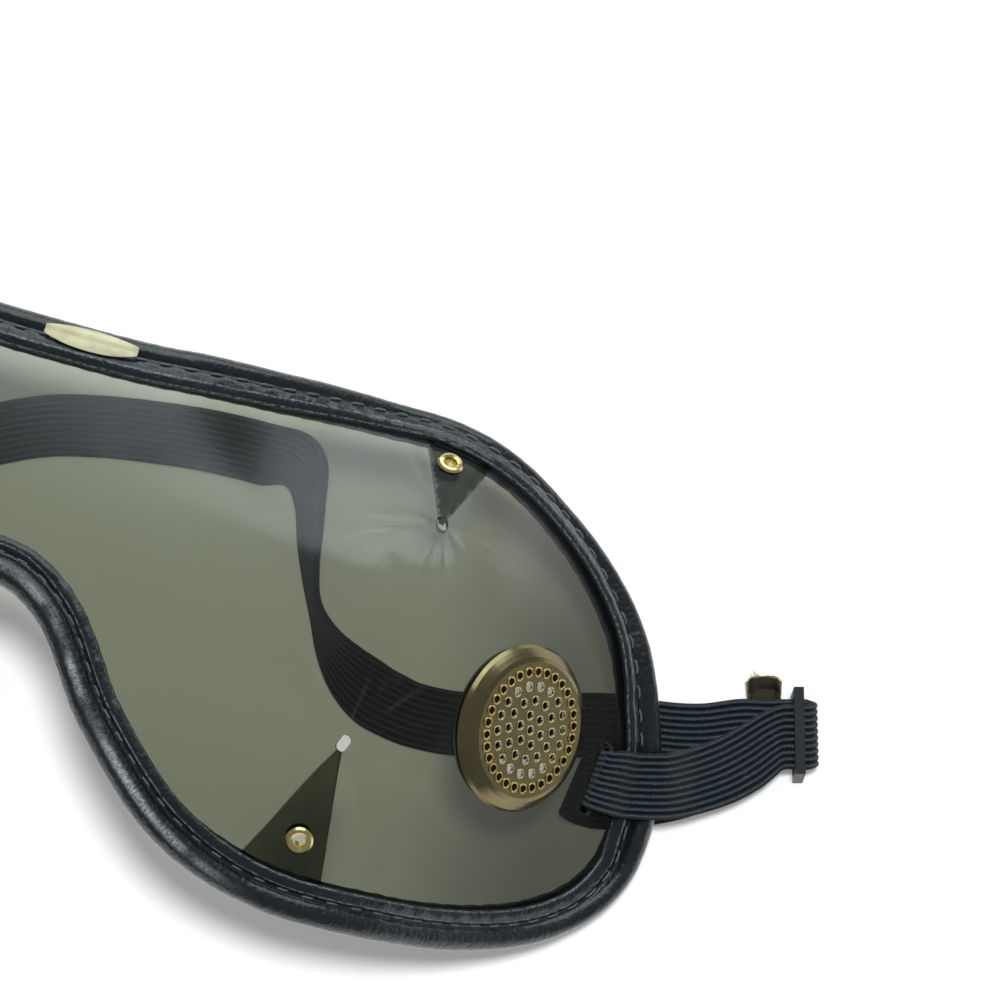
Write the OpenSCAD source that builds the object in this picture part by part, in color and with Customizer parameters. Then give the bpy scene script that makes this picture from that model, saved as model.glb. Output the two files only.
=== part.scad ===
// Flexible-lens goggles, lying lens side up with the head strap tucked underneath.
// +X is the wearer's left, +Y is towards the brow and +Z is the front of the lens.
// The origin is at the bottom centre of the whole object.

/* [Lens] */
// Distance from the middle of the goggles to the rim at the temple
temple_x = 97; // [95:0.5:99]
// Thickness of the lens sheet
lens_t = 0.8; // [0.6:0.1:1]
// Distance from the middle to where the lens starts to bend back
bend_start = 50; // [48:0.5:51]
// Radius of the bend between the flat front and the temple
bend_r = 25; // [22:0.5:25]
// Slope of the lens at the temple, in degrees
temple_angle = 47; // [44:1:48]
// Fall of the lens towards the brow, as rise over run
brow_slope = 0.6; // [0.5:0.05:0.6]
// Fall of the lens towards the cheek, as rise over run
cheek_slope = 0.5; // [0.4:0.05:0.6]

/* [Edge binding] */
// Width of the stitched hem that grips the lens
hem_w = 4.4; // [3.8:0.1:5]
// Height of the hem's bead above the lens
bead_h = 1.3; // [1.1:0.1:1.6]
// Width of the padded roll outside the hem
roll_w = 4; // [3.6:0.2:4.6]
// Height of the padded roll
roll_h = 5.6; // [5:0.2:6.2]
// Thickness of the leatherette
skin_t = 0.6; // [0.4:0.1:0.7]

/* [Stitches] */
// Length of one stitch
stitch_l = 1.8; // [1.2:0.2:2.2]
// Thickness of the thread
thread_t = 0.34; // [0.26:0.02:0.38]

/* [Label] */
// Length of the blank foil label on the brow
label_l = 14; // [10:1:18]
// Thickness of the foil
label_t = 0.15; // [0.1:0.05:0.25]

/* [Vents] */
// Diameter of a brass vent
vent_d = 24.6; // [24:0.2:25.4]
// Width of the domed rim round the perforated field
vent_rim_w = 2.8; // [2.5:0.1:3]
// Height of the vent's flat above the middle of the lens sheet
vent_h = 2.7; // [2.3:0.1:3]
// Thickness of the brass sheet
brass_t = 0.4; // [0.3:0.05:0.5]
// Diameter of the inner holes
vent_hole_d = 1.25; // [1:0.05:1.3]
// Diameter of the blind dimples in the outermost ring
vent_edge_hole_d = 1.1; // [0.9:0.05:1.15]

/* [Eyelets] */
// Diameter of a dart eyelet's flange
eyelet_d = 4; // [3.6:0.1:4.2]
// Bore of a dart eyelet
eyelet_bore_d = 1.7; // [1.4:0.1:1.9]

/* [Head strap] */
// Width of the elastic
strap_w = 10; // [9:0.5:10.5]
// Thickness of the elastic
strap_t = 1.1; // [0.9:0.1:1.2]

/* [Slider] */
// Length of a strap slider across the strap
slider_l = 13.4; // [13.3:0.1:14]
// Thickness of a strap slider along the strap
slider_t = 1.5; // [1.4:0.05:1.6]
// Height of each of the slider's three bars
slider_bar = 1.1; // [1:0.05:1.2]

/* [Ferrule] */
// Width of the flattened brass ferrule on the strap's end
ferrule_w = 5.5; // [5.3:0.1:5.6]
// Length of the ferrule
ferrule_l = 8; // [7.4:0.2:8.4]
// Height of the ferrule
ferrule_h = 2.2; // [2.1:0.05:2.3]

/* [Hidden] */

// Running gaps between neighbours
gap = 0.1;
// Outline of one half of the rim, from the brow's middle past the temple to the nose,
// drawn for a temple at 97
outline_temple = 97;
outline = [
  [0, 32], [14, 32.3], [28, 34], [42, 36.6], [56, 37.5], [70, 33.8], [82, 26], [91, 14],
  [97, -3],
  [95.5, -17.5], [85, -28.5], [68, -35.6], [50, -37.5], [34, -33.3], [20.5, -22], [10, -8.9],
  [0, -4.2]
];
// Points on the spline between two outline points
outline_sub = 4;
half_count = len(outline) - 1;
ring_count = 2*half_count*outline_sub;
half_ring = ring_count/2;

// Vent and strap slot, measured inward from the rim at the temple
vent_inset = 20;
vent_y = -2.5;
slot_inset = 7.6;
slot_y = -4;
slot_w = 2.3;
slot_extra = 1;
// Middle height of the lens, and the half height of its flat middle band
mid_y = -2.5;
brow_flat = 12;
cheek_flat = 12;
ramp_w = 8;
// Side lean of the temple, and the range over which the lean acts
lean = 0.15;
lean_flat = 12;
lean_end = 20;
// The brow and cheek slopes fade in between these distances from the middle
fade_from = 16;
fade_to = 54;
// The rim settles on the table at the cheek and on the strap's layers at the temple:
// smoothing, how far the sheet is pressed up there, and where the strap's edge lies
settle = 1.8;
sink = 1;
strap_from = -16;
strap_to = -9;

// Roll and hem in the section plane: first along the surface outward, then along its normal
roll_c = [0.2, -0.2];
roll_reach = 2.9;
lens_edge = roll_c[0] - roll_w/2 + skin_t - 0.1;
slot_half = lens_t/2 + 2.5*gap;
rim_rest_z = 2*strap_t + 2*gap + roll_reach;
lens_top = rim_rest_z + drop(temple_x) - sink;

function unit(v) = v/norm(v);
function lerp(a, b, t) = a + (b - a)*t;
function smooth(t) = let(c = max(0, min(1, t))) c*c*(3 - 2*c);

// Shape of the lens sheet
function drop(x) =
  let(d = max(0, x - bend_start), a = bend_r*sin(temple_angle))
  d < a ? bend_r - sqrt(bend_r*bend_r - d*d)
        : bend_r*(1 - cos(temple_angle)) + (d - a)*tan(temple_angle);
function ramp(d) = d <= 0 ? 0 : d < ramp_w ? d*d/(2*ramp_w) : d - ramp_w/2;
function lean_of(d) =
  let(m = abs(d), s = d < 0 ? -1 : 1, w = lean_end - lean_flat)
  s*(m < lean_flat ? m : m < lean_end ? m - pow(m - lean_flat, 2)/(2*w) : lean_flat + w/2);
function raw_height(x, y) =
  let(d = y - mid_y, fade = smooth((abs(x) - fade_from)/(fade_to - fade_from)))
  lens_top - drop(abs(x) - lean*lean_of(d))
  - fade*(brow_slope*ramp(d - brow_flat) + cheek_slope*ramp(-d - cheek_flat));
function height(x, y) =
  let(base = lerp(roll_reach, rim_rest_z, smooth((y - strap_from)/(strap_to - strap_from))),
      v = (raw_height(x, y) - base)/settle)
  base + (v > 30 ? v*settle : settle*ln(1 + exp(v)));
probe = 0.05;
function normal(x, y) =
  unit([height(x - probe, y) - height(x + probe, y), height(x, y - probe) - height(x, y + probe),
        2*probe]);
function on_lens(x, y, n = 0) = [x, y, height(x, y)] + n*normal(x, y);

// Closed rim curve
function outline_at(i) =
  let(k = (i + 2*half_count)%(2*half_count), m = k <= half_count ? k : 2*half_count - k,
      s = k <= half_count ? 1 : -1)
  [s*outline[m][0]*temple_x/outline_temple, outline[m][1]];
function spline(a, b, c, d, t) =
  0.5*(2*b + (c - a)*t + (2*a - 5*b + 4*c - d)*t*t + (3*b - a - 3*c + d)*t*t*t);
function rim_plan(k) =
  let(s = (k + ring_count)%ring_count, i = floor(s/outline_sub), t = s/outline_sub - i)
  spline(outline_at(i - 1), outline_at(i), outline_at(i + 1), outline_at(i + 2), t);
rim = [for (k = [0:ring_count - 1]) let(p = rim_plan(k)) on_lens(p[0], p[1])];
function rim_p(k) = rim[(k + ring_count)%ring_count];
rim_t = [for (k = [0:ring_count - 1]) unit(rim_p(k + 1) - rim_p(k - 1))];
rim_n = [for (k = [0:ring_count - 1])
  let(n = normal(rim[k][0], rim[k][1])) unit(n - (n*rim_t[k])*rim_t[k])];
rim_o = [for (k = [0:ring_count - 1]) cross(rim_n[k], rim_t[k])];
// A point of the section plane at ring k: o outward, n towards the front
function at_rim(k, o, n) = let(i = (k + ring_count)%ring_count) rim[i] + o*rim_o[i] + n*rim_n[i];
function at_rim_between(k, t, o, n) = lerp(at_rim(k, o, n), at_rim(k + 1, o, n), t);

// Two triangles of a quad, leaving out any that has collapsed
function quad(a, b, c, d) =
  [for (f = [[a, b, c], [a, c, d]]) if (f[0] != f[1] && f[1] != f[2] && f[2] != f[0]) f];

// Tube along the closed rim with the given section
module rim_sweep(section) {
  m = len(section);
  points = [for (k = [0:ring_count - 1]) for (s = section) at_rim(k, s[0], s[1])];
  faces = [for (k = [0:ring_count - 1]) for (j = [0:m - 1])
    let(a = k*m, b = ((k + 1)%ring_count)*m, e = (j + 1)%m)
    each quad(a + j, a + e, b + e, b + j)];
  polyhedron(points, faces);
}

function arc(c, rx, ry, from, to, count) =
  [for (i = [0:count - 1]) let(a = lerp(from, to, i/(count - 1))) c + [rx*cos(a), ry*sin(a)]];

// Lens sheet: columns from the brow to the cheek between matching rim stations
lens_rows = 10;
lens_cols = half_ring/2;
hem_clear = 0.35;
function lens_point(c, j, n) =
  let(top = c, bottom = half_ring - c, o = -(hem_w + hem_clear), last = lens_rows + 2)
  j == 0 ? at_rim(top, lens_edge - gap, n)
  : j == last ? at_rim(bottom, lens_edge - gap, n)
  : j == 1 ? at_rim(top, o, n)
  : j == last - 1 ? at_rim(bottom, o, n)
  : let(p = lerp(at_rim(top, o, 0), at_rim(bottom, o, 0), (j - 1)/lens_rows))
    on_lens(p[0], p[1], n);

module lens_sheet() {
  last = lens_rows + 2;
  size = (2*lens_cols + 1)*(last + 1);
  points = [for (n = [lens_t/2, -lens_t/2]) for (c = [-lens_cols:lens_cols]) for (j = [0:last])
    lens_point(c, j, n)];
  function id(side, i, j) =
    side*size + i*(last + 1)
    + ((i == 0 || i == 2*lens_cols) ? ((j == 0 || j == last) ? 0 : 1) : j);
  front = [for (i = [0:2*lens_cols - 1]) for (j = [0:last - 1])
    each quad(id(0, i, j), id(0, i + 1, j), id(0, i + 1, j + 1), id(0, i, j + 1))];
  back = [for (i = [0:2*lens_cols - 1]) for (j = [0:last - 1])
    each quad(id(1, i, j), id(1, i, j + 1), id(1, i + 1, j + 1), id(1, i + 1, j))];
  top_edge = [for (i = [0:2*lens_cols - 1])
    each quad(id(0, i, 0), id(1, i, 0), id(1, i + 1, 0), id(0, i + 1, 0))];
  bottom_edge = [for (i = [0:2*lens_cols - 1])
    each quad(id(0, i, last), id(0, i + 1, last), id(1, i + 1, last), id(1, i, last))];
  polyhedron(points, concat(front, back, top_edge, bottom_edge));
}

// Moves children to a point of the lens, with their Z along its normal
module on_surface(x, y) {
  p = on_lens(x, y);
  n = normal(x, y);
  v = unit([0, 1, 0] - n[1]*n);
  u = cross(v, n);
  multmatrix([
    [u[0], v[0], n[0], p[0]],
    [u[1], v[1], n[1], p[1]],
    [u[2], v[2], n[2], p[2]],
    [0, 0, 0, 1]
  ]) children();
}
module mirrored() {
  mirror([1, 0, 0]) children();
}
module both_sides() {
  children();
  mirrored() children();
}

// Darts: relief hole at the tip, eyelet near the rim, and the two rim stations of the wedge
upper_tip = [59, 20.7];
upper_eye = [57, 31];
upper_wedge = [18, 15];
lower_tip = [55, -14.8];
lower_eye = [52.4, -28.9];
lower_wedge = [49, 46];
tip_hole = [0.8, 1.3];
flap_rows = 5;
flap_cols = 3;
eyelet_r = eyelet_bore_d/2 + 0.35;
vent_x = temple_x - vent_inset;
vent_field_r = vent_d/2 - vent_rim_w;
vent_neck_r = vent_field_r + brass_t + 0.3;
slot_x = temple_x - slot_inset;

// Second layer of the sheet where it laps over itself behind a dart
module dart_flap(tip, wedge) {
  function flap_point(i, j, n) =
    let(a = at_rim(wedge[0], -(hem_w + hem_clear), 0), b = at_rim(wedge[1], -(hem_w + hem_clear), 0),
        base = lerp([a[0], a[1]], [b[0], b[1]], j/flap_cols),
        narrow = tip + (base - tip)*0.06,
        p = lerp(narrow, base, i/flap_rows))
    on_lens(p[0], p[1], n);
  row = flap_cols + 1;
  size = (flap_rows + 1)*row;
  points = [for (n = [0, -1.5*lens_t]) for (i = [0:flap_rows]) for (j = [0:flap_cols])
    flap_point(i, j, n)];
  edge = concat(
    [for (i = [0:flap_rows]) i*row],
    [for (j = [1:flap_cols]) flap_rows*row + j],
    [for (i = [flap_rows - 1:-1:0]) i*row + flap_cols],
    [for (j = [flap_cols - 1:-1:1]) j]);
  m = len(edge);
  faces = concat(
    [for (i = [0:flap_rows - 1]) for (j = [0:flap_cols - 1])
      let(a = i*row + j) each quad(a, a + 1, a + row + 1, a + row)],
    [for (i = [0:flap_rows - 1]) for (j = [0:flap_cols - 1])
      let(a = size + i*row + j) each quad(a, a + row, a + row + 1, a + 1)],
    [for (k = [0:m - 1]) let(e = edge[k], f = edge[(k + 1)%m])
      each quad(e, f, f + size, e + size)]);
  polyhedron(points, faces);
}
module eyelet_hole(p) {
  on_surface(p[0], p[1]) cylinder(h = 8, r = eyelet_r + gap, center = true, $fn = 24);
}
module tip_opening(p, turn) {
  on_surface(p[0], p[1]) rotate([0, 0, turn]) {
    for (s = [-1, 1])
      translate([0, s*(tip_hole[1] - tip_hole[0]), 0])
        cylinder(h = 5, r = tip_hole[0], center = true, $fn = 20);
    cube([2*tip_hole[0], 2*(tip_hole[1] - tip_hole[0]), 5], center = true);
  }
}
module lens() {
  color([0.45, 0.48, 0.43, 0.6])
    difference() {
      union() {
        lens_sheet();
        both_sides() {
          dart_flap(upper_tip, upper_wedge);
          dart_flap(lower_tip, lower_wedge);
        }
      }
      both_sides() {
        on_surface(vent_x, vent_y) cylinder(h = 6, r = vent_neck_r + gap, center = true, $fn = 64);
        on_surface(slot_x, slot_y) cube([slot_w, strap_w + slot_extra, 6], center = true);
        eyelet_hole(upper_eye);
        eyelet_hole(lower_eye);
        tip_opening(upper_tip, 12);
        tip_opening(lower_tip, -20);
      }
    }
}

// Section of the folded leatherette: hem bead, stitch groove, roll, and the same at the back
groove_o = -1.9;
groove_n = 1.05;
hem_front = [
  [-hem_w, slot_half], [-hem_w, slot_half + 0.5], [-hem_w + 0.45, lens_t/2 + bead_h - 0.2],
  [-hem_w + 1.2, lens_t/2 + bead_h], [-hem_w + 2, lens_t/2 + bead_h - 0.25], [groove_o, groove_n]
];
hem_back = [for (i = [len(hem_front) - 1:-1:0]) [hem_front[i][0], -hem_front[i][1]]];
pocket_w = roll_w - 2*skin_t;
pocket_h = roll_h - 2*skin_t;
mouth = asin(2*(slot_half - roll_c[1])/pocket_h);
mouth_back = asin(2*(slot_half + roll_c[1])/pocket_h);
binding_section = concat(
  hem_front,
  arc(roll_c, roll_w/2, roll_h/2, 130, -130, 9),
  hem_back,
  arc(roll_c, pocket_w/2, pocket_h/2, -180 + mouth_back, 180 - mouth, 8));
module edge_binding() {
  color([0.07, 0.09, 0.12]) rim_sweep(binding_section);
}
module foam_core() {
  color([0.82, 0.8, 0.7]) rim_sweep(
    arc(roll_c, pocket_w/2 - 1.5*gap, pocket_h/2 - 1.5*gap, 180 - mouth, -180 + mouth_back, 8));
}

// One stitch lies in the groove between each two rim stations
module binding_stitches() {
  lift = groove_n + 0.26 + thread_t/2;
  color([0.03, 0.03, 0.04])
    for (k = [0:ring_count - 1]) {
      p = at_rim_between(k, 0.5, groove_o, lift);
      t = unit(at_rim(k + 1, groove_o, lift) - at_rim(k, groove_o, lift));
      n = unit(rim_n[k] + rim_n[(k + 1)%ring_count]);
      m = unit(n - (n*t)*t);
      o = cross(m, t);
      multmatrix([
        [t[0], o[0], m[0], p[0]],
        [t[1], o[1], m[1], p[1]],
        [t[2], o[2], m[2], p[2]],
        [0, 0, 0, 1]
      ]) cube([stitch_l, thread_t, thread_t], center = true);
    }
}

// Barrel-shaped foil label laid over the roll and the groove near the middle of the brow
label_x = 3.4;
label_cols = 8;
label_rows = 6;
// The foil's way across the binding, from above the hem bead over the groove to the roll, and how far
// along it the two edges lie in the middle and at the ends
label_path = concat([[-2.45, 2], [-1.7, 2.32]], arc(roll_c, roll_w/2, roll_h/2, 118, 62, 5));
label_low = [0.07, 1.36];
label_high = [5.64, 4.64];
module foil_label() {
  function path_at(t) =
    let(k = min(floor(t), len(label_path) - 2)) lerp(label_path[k], label_path[k + 1], t - k);
  function label_point(i, j, lift) =
    let(f = i/label_cols*2 - 1, x = label_x + f*label_l/2, k = x/(outline_at(1)[0])*outline_sub,
        q = path_at(lerp(lerp(label_low[0], label_low[1], f*f), lerp(label_high[0], label_high[1], f*f),
                         j/label_rows)),
        p = q + lift*(q - roll_c)/norm(q - roll_c),
        low = floor(k))
    at_rim_between(low, k - low, p[0], p[1]);
  row = label_rows + 1;
  size = (label_cols + 1)*row;
  low_lift = 0.08;
  points = [for (lift = [low_lift + label_t, low_lift]) for (i = [0:label_cols])
    for (j = [0:label_rows]) label_point(i, j, lift)];
  edge = concat(
    [for (i = [0:label_cols]) i*row],
    [for (j = [1:label_rows]) label_cols*row + j],
    [for (i = [label_cols - 1:-1:0]) i*row + label_rows],
    [for (j = [label_rows - 1:-1:1]) j]);
  m = len(edge);
  faces = concat(
    [for (i = [0:label_cols - 1]) for (j = [0:label_rows - 1])
      let(a = i*row + j) each quad(a, a + 1, a + row + 1, a + row)],
    [for (i = [0:label_cols - 1]) for (j = [0:label_rows - 1])
      let(a = size + i*row + j) each quad(a, a + row, a + row + 1, a + 1)],
    [for (k = [0:m - 1]) let(e = edge[k], f = edge[(k + 1)%m])
      each quad(e, f, f + size, e + size)]);
  color([0.85, 0.8, 0.5]) polyhedron(points, faces);
}

// Vent: a domed rim round a flat perforated field, with a neck through the lens. Each hole ring is
// given by its count, its radius as a share of the field's, and its turn
vent_rings = [[1, 0, 0], [6, 0.232, 0], [12, 0.458, 15], [18, 0.679, 0]];
vent_edge_count = 30;
vent_edge_share = 0.9;
vent_seat = lens_t/2 + gap;
vent_dimple = 0.5;
module vent_cap() {
  r = vent_d/2;
  f = vent_field_r;
  w = vent_rim_w;
  rise = vent_h - vent_seat;
  neck = vent_neck_r;
  foot = -lens_t/2 - brass_t - 3*gap;
  shelf_r = vent_edge_share*f - vent_edge_hole_d/2 - 0.3;
  shelf_z = vent_h - vent_dimple - brass_t;
  color([0.72, 0.58, 0.3])
    on_surface(vent_x, vent_y)
      difference() {
        rotate_extrude($fn = 96)
          polygon([
            [0, vent_h - brass_t], [shelf_r, vent_h - brass_t], [shelf_r, shelf_z],
            [neck - brass_t, shelf_z], [neck - brass_t, foot], [neck, foot], [neck, vent_h - 0.5*rise],
            [r - 0.28*w, vent_seat + 0.12*rise], [r - 0.25*w, vent_seat], [r - 0.04*w, vent_seat],
            [r, vent_seat + 0.18*rise], [r - 0.14*w, vent_seat + 0.43*rise],
            [f + 0.68*w, vent_h - 0.38*rise], [f + 0.43*w, vent_h - 0.14*rise],
            [f + 0.18*w, vent_h], [0, vent_h]
          ]);
        for (ring = vent_rings)
          for (i = [0:ring[0] - 1])
            rotate([0, 0, ring[2] + i*360/ring[0]]) translate([ring[1]*f, 0, 0])
              cylinder(h = 2*vent_h + 1, d = vent_hole_d, center = true, $fn = 20);
        for (i = [0:vent_edge_count - 1])
          rotate([0, 0, i*360/vent_edge_count]) translate([vent_edge_share*f, 0, vent_h - vent_dimple])
            cylinder(h = 1, d = vent_edge_hole_d, $fn = 20);
      }
}
module vent_ring() {
  color([0.68, 0.54, 0.28])
    on_surface(vent_x, vent_y)
      translate([0, 0, -lens_t/2 - gap - brass_t])
        difference() {
          cylinder(h = brass_t, r = vent_d/2 - 0.6, $fn = 96);
          translate([0, 0, -1]) cylinder(h = brass_t + 2, r = vent_neck_r + 0.05, $fn = 96);
        }
}

// Dart eyelet: rounded front flange, barrel and rolled back, holding two layers of lens
module eyelet(p) {
  r = eyelet_d/2;
  b = eyelet_bore_d/2;
  seat = lens_t/2 + gap;
  foot = -1.5*lens_t - gap;
  color([0.78, 0.62, 0.25])
    on_surface(p[0], p[1])
      rotate_extrude($fn = 48)
        polygon([
          [b, foot - 0.4], [eyelet_r + 0.5, foot - 0.4], [eyelet_r + 0.7, foot - 0.2],
          [eyelet_r + 0.5, foot], [eyelet_r, foot], [eyelet_r, seat], [r - 0.1, seat],
          [r, seat + 0.15], [r - 0.3, seat + 0.45], [b + 0.45, seat + 0.55], [b + 0.1, seat + 0.35],
          [b, seat]
        ]);
}

// Ribbon of elastic along a route of [x, y, z, heading of its width, lift of its width]
ribbon_sub = 3;
gathered = [4, 1.2];
function route_point(route, s) =
  let(last = len(route) - 1, i = min(floor(s), last - 1), t = s - i,
      a = route[max(i - 1, 0)], b = route[i], c = route[i + 1], d = route[min(i + 2, last)])
  spline(a, b, c, d, t);
module ribbon(route) {
  count = (len(route) - 1)*ribbon_sub;
  samples = [for (i = [0:count]) route_point(route, i/ribbon_sub)];
  function pos(i) = [samples[i][0], samples[i][1], samples[i][2]];
  function chord(i) = let(a = route[i], b = route[i + 1]) unit([b[0] - a[0], b[1] - a[1], b[2] - a[2]]);
  function section(i) =
    let(p = pos(i),
        t = i == 0 ? chord(0) : i == count ? chord(len(route) - 2) : unit(pos(i + 1) - pos(i - 1)),
        w = [cos(samples[i][3])*cos(samples[i][4]), sin(samples[i][3])*cos(samples[i][4]),
             sin(samples[i][4])],
        g = is_undef(samples[i][5]) ? 0 : samples[i][5],
        a = w*lerp(strap_w, gathered[0], g)/2,
        b = unit(cross(t, w))*lerp(strap_t, gathered[1], g)/2)
    [p + a + b, p - a + b, p - a - b, p + a - b];
  points = [for (i = [0:count]) each section(i)];
  faces = concat(
    [for (i = [0:count - 1]) for (j = [0:3])
      let(a = 4*i, b = 4*i + 4, e = (j + 1)%4) each quad(a + j, b + j, b + e, a + e)],
    [[1, 2, 3], [0, 1, 3]],
    [let(e = 4*count) each [[e + 2, e + 1, e], [e + 3, e + 2, e]]]);
  polyhedron(points, faces);
}

// Heights of the strap's layers where they are stacked
table_z = strap_t/2;
stack_z = 1.5*strap_t + gap;
over_ferrule_z = ferrule_h + gap + strap_t/2;
// Heading of the strap through the slider, and how far its two layers are shifted sideways there
run_dir = 16;
across = run_dir + 90;
slider_at = [116.9, 12.6];
side_shift = 0.7;
ferrule_at = [110.85, 15.95];
table_gap = 0.05;
window_gap = 0.15;
lower_z = over_ferrule_z - 0.05;
middle_bar_z = lower_z + strap_t/2 + window_gap;
upper_z = middle_bar_z + slider_bar + window_gap + strap_t/2;
top_bar_z = upper_z + strap_t/2 + window_gap;
// A point of the strap near the slider: s along the strap, v across it
function near_slider(s, v) =
  slider_at + s*[cos(run_dir), sin(run_dir)] + v*[-sin(run_dir), cos(run_dir)];
// A point on the ferrule's axis
function in_ferrule(v) = ferrule_at + v*[-sin(run_dir), cos(run_dir)];

slot_p = on_lens(slot_x, slot_y);
slot_n = normal(slot_x, slot_y);
slot_dir = atan2(slot_n[1], slot_n[0]) + 90;
slot_lift = 6;
// The strap lies over the hem's bead and the crest of the roll at the temple
temple_ring = half_ring/2;
over_bead = at_rim(temple_ring, -hem_w + 1.2, lens_t/2 + bead_h + gap + strap_t/2 + 0.5);
over_roll = at_rim(temple_ring, 0.8, roll_c[1] + roll_h/2 + gap + strap_t/2 + 0.9);
front_route = [
  concat(slot_p, [slot_dir, slot_lift]),
  concat(slot_p + 0.6*slot_n, [slot_dir, slot_lift]),
  concat(slot_p + 1.3*slot_n, [slot_dir, slot_lift]),
  [slot_p[0] + 3.3, slot_y + 0.3, slot_p[2] - 0.1, 85, 7],
  [over_bead[0], -3.1, over_bead[2] + 0.2, 92, 10],
  [over_roll[0] + 0.4, -1.9, over_roll[2] + 0.4, 100, 11],
  [103.5, 0.6, upper_z + 1.9, 115, 4],
  [107.4, 3.5, upper_z + 0.9, 124, 1],
  [110.6, 6.7, upper_z + 0.25, 124, 0],
  [113, 9.6, upper_z, 116, 0],
  concat(near_slider(-2.4, -side_shift), [upper_z, across, 0]),
  concat(near_slider(0, -side_shift), [upper_z, across, 0]),
  concat(near_slider(1.2, -side_shift), [upper_z, across, 0]),
  concat(near_slider(2.05, -0.4), [upper_z - 0.4, across, 0]),
  concat(near_slider(2.45, 0), [(upper_z + lower_z)/2, across, 0]),
  concat(near_slider(2.05, 0.4), [lower_z + 0.4, across, 0]),
  concat(near_slider(1.5, side_shift), [lower_z, across, 0]),
  concat(near_slider(1.1, side_shift), [lower_z, across, 0]),
  concat(near_slider(0.7, side_shift), [lower_z, across, 0])
];
// The last number of a tail point is how far the strap is gathered to enter the ferrule
tail_route = [
  concat(slot_p, [slot_dir, slot_lift, 0]),
  concat(slot_p - 0.6*slot_n, [slot_dir, slot_lift, 0]),
  concat(slot_p - 1.3*slot_n, [slot_dir, slot_lift, 0]),
  [slot_p[0] - 2.3, slot_y - 0.3, slot_p[2] - 3.4, 83, 4, 0],
  [slot_p[0] - 3, slot_y - 0.4, slot_p[2] - 6.2, 83, 1, 0],
  [slot_p[0] - 2.6, slot_y - 0.4, slot_p[2] - 9, 84, 0, 0],
  [slot_p[0] - 0.6, slot_y - 0.4, table_z + 0.6, 87, 0, 0],
  [slot_p[0] + 2.6, slot_y + 0.1, table_z + 0.08, 96, 0, 0],
  [97, -1.8, table_z + 0.06, 110, 0, 0],
  [102.6, 1.4, table_z + 0.06, 124, 0, 0],
  [107.4, 5.8, ferrule_h/2 - 0.4, 140, 0, 0.1],
  [110.6, 9.4, ferrule_h/2 - 0.15, 156, 0, 0.6],
  concat(in_ferrule(-ferrule_l/2 - 0.8), [ferrule_h/2, run_dir + 170, 0, 0.97]),
  concat(in_ferrule(-ferrule_l/2 + 0.6), [ferrule_h/2, run_dir + 180, 0, 1]),
  concat(in_ferrule(0), [ferrule_h/2, run_dir + 180, 0, 1]),
  concat(in_ferrule(ferrule_l/2 - 0.4), [ferrule_h/2, run_dir + 180, 0, 1])
];
run_route = [
  concat(near_slider(0.7, side_shift), [lower_z, across, 0]),
  concat(near_slider(0, side_shift), [lower_z, across, 0]),
  concat(near_slider(-2.2, side_shift), [lower_z, across, 0]),
  concat(near_slider(-4.5, side_shift - 0.1), [over_ferrule_z + 0.05, across, 0]),
  [108.4, 10.9, over_ferrule_z + 0.1, 108, 0],
  [102.7, 8.7, stack_z + 0.5, 103, 0],
  [97, 7.5, stack_z + 0.05, 100, 0],
  [91, 6.9, stack_z, 97, 0],
  [86, 5.8, stack_z - 0.2, 103, 0],
  [80, 4, table_z + 0.1, 105, 0],
  [73, 2.1, table_z, 104, 0],
  [66, 0.6, table_z, 100, 0],
  [62, 0.2, table_z, 93, 0]
];
turn_route = [
  [62, 0.2, table_z, 93, 0],
  [60.4, 0.17, table_z, 90, 0],
  [58.8, 0.22, table_z + 0.07, 87, 0.3],
  [56.6, 0.5, table_z + 0.5, 82, 4],
  [53, 1.2, 2.1, 74, 18],
  [48.5, 3.2, 4.1, 62, 45],
  [44.6, 6.3, 5.05, 50, 68],
  [41.4, 10.6, 5.35, 32, 82],
  [39, 16, 5.3, 14, 77],
  [37.2, 21.5, 5.05, 12, 68],
  [35.6, 27, 4.95, 14, 62],
  [33.8, 31, 4.4, 30, 48],
  [30.6, 33.1, 2.5, 62, 22],
  [27.4, 33.4, table_z + 0.6, 82, 4],
  [25.8, 33.5, table_z + 0.08, 88, 0.3],
  [24.6, 33.5, table_z, 90, 0],
  [23, 33.5, table_z, 92, 0]
];
middle_route = [
  [23, 33.5], [16, 33.1], [8, 32.1], [0, 30.7], [-8, 28.5], [-16, 24.6], [-26, 18.8], [-38, 12],
  [-50, 5.6], [-57, 1.5], [-62, 0.2]
];

module strap_front() {
  color([0.08, 0.1, 0.14]) ribbon(front_route);
}
module strap_tail() {
  color([0.08, 0.1, 0.14]) ribbon(tail_route);
}
module strap_run() {
  color([0.08, 0.1, 0.14]) ribbon(run_route);
}
module strap_turn() {
  color([0.08, 0.1, 0.14]) ribbon(turn_route);
}
// Flat stretch across the table from the turn to the other side's run
module strap_middle() {
  last = len(middle_route) - 1;
  count = last*ribbon_sub;
  line = [for (i = [0:count]) route_point(middle_route, i/ribbon_sub)];
  first_side = [cos(92), sin(92)];
  last_side = [cos(87), sin(87)];
  function side(i) =
    i == 0 ? first_side : i == count ? last_side
    : let(t = unit(line[i + 1] - line[i - 1])) [t[1], -t[0]];
  color([0.08, 0.1, 0.14])
    linear_extrude(height = strap_t)
      polygon(concat(
        [for (i = [0:count]) line[i] + side(i)*strap_w/2],
        [for (i = [count:-1:0]) line[i] - side(i)*strap_w/2]));
}

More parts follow.
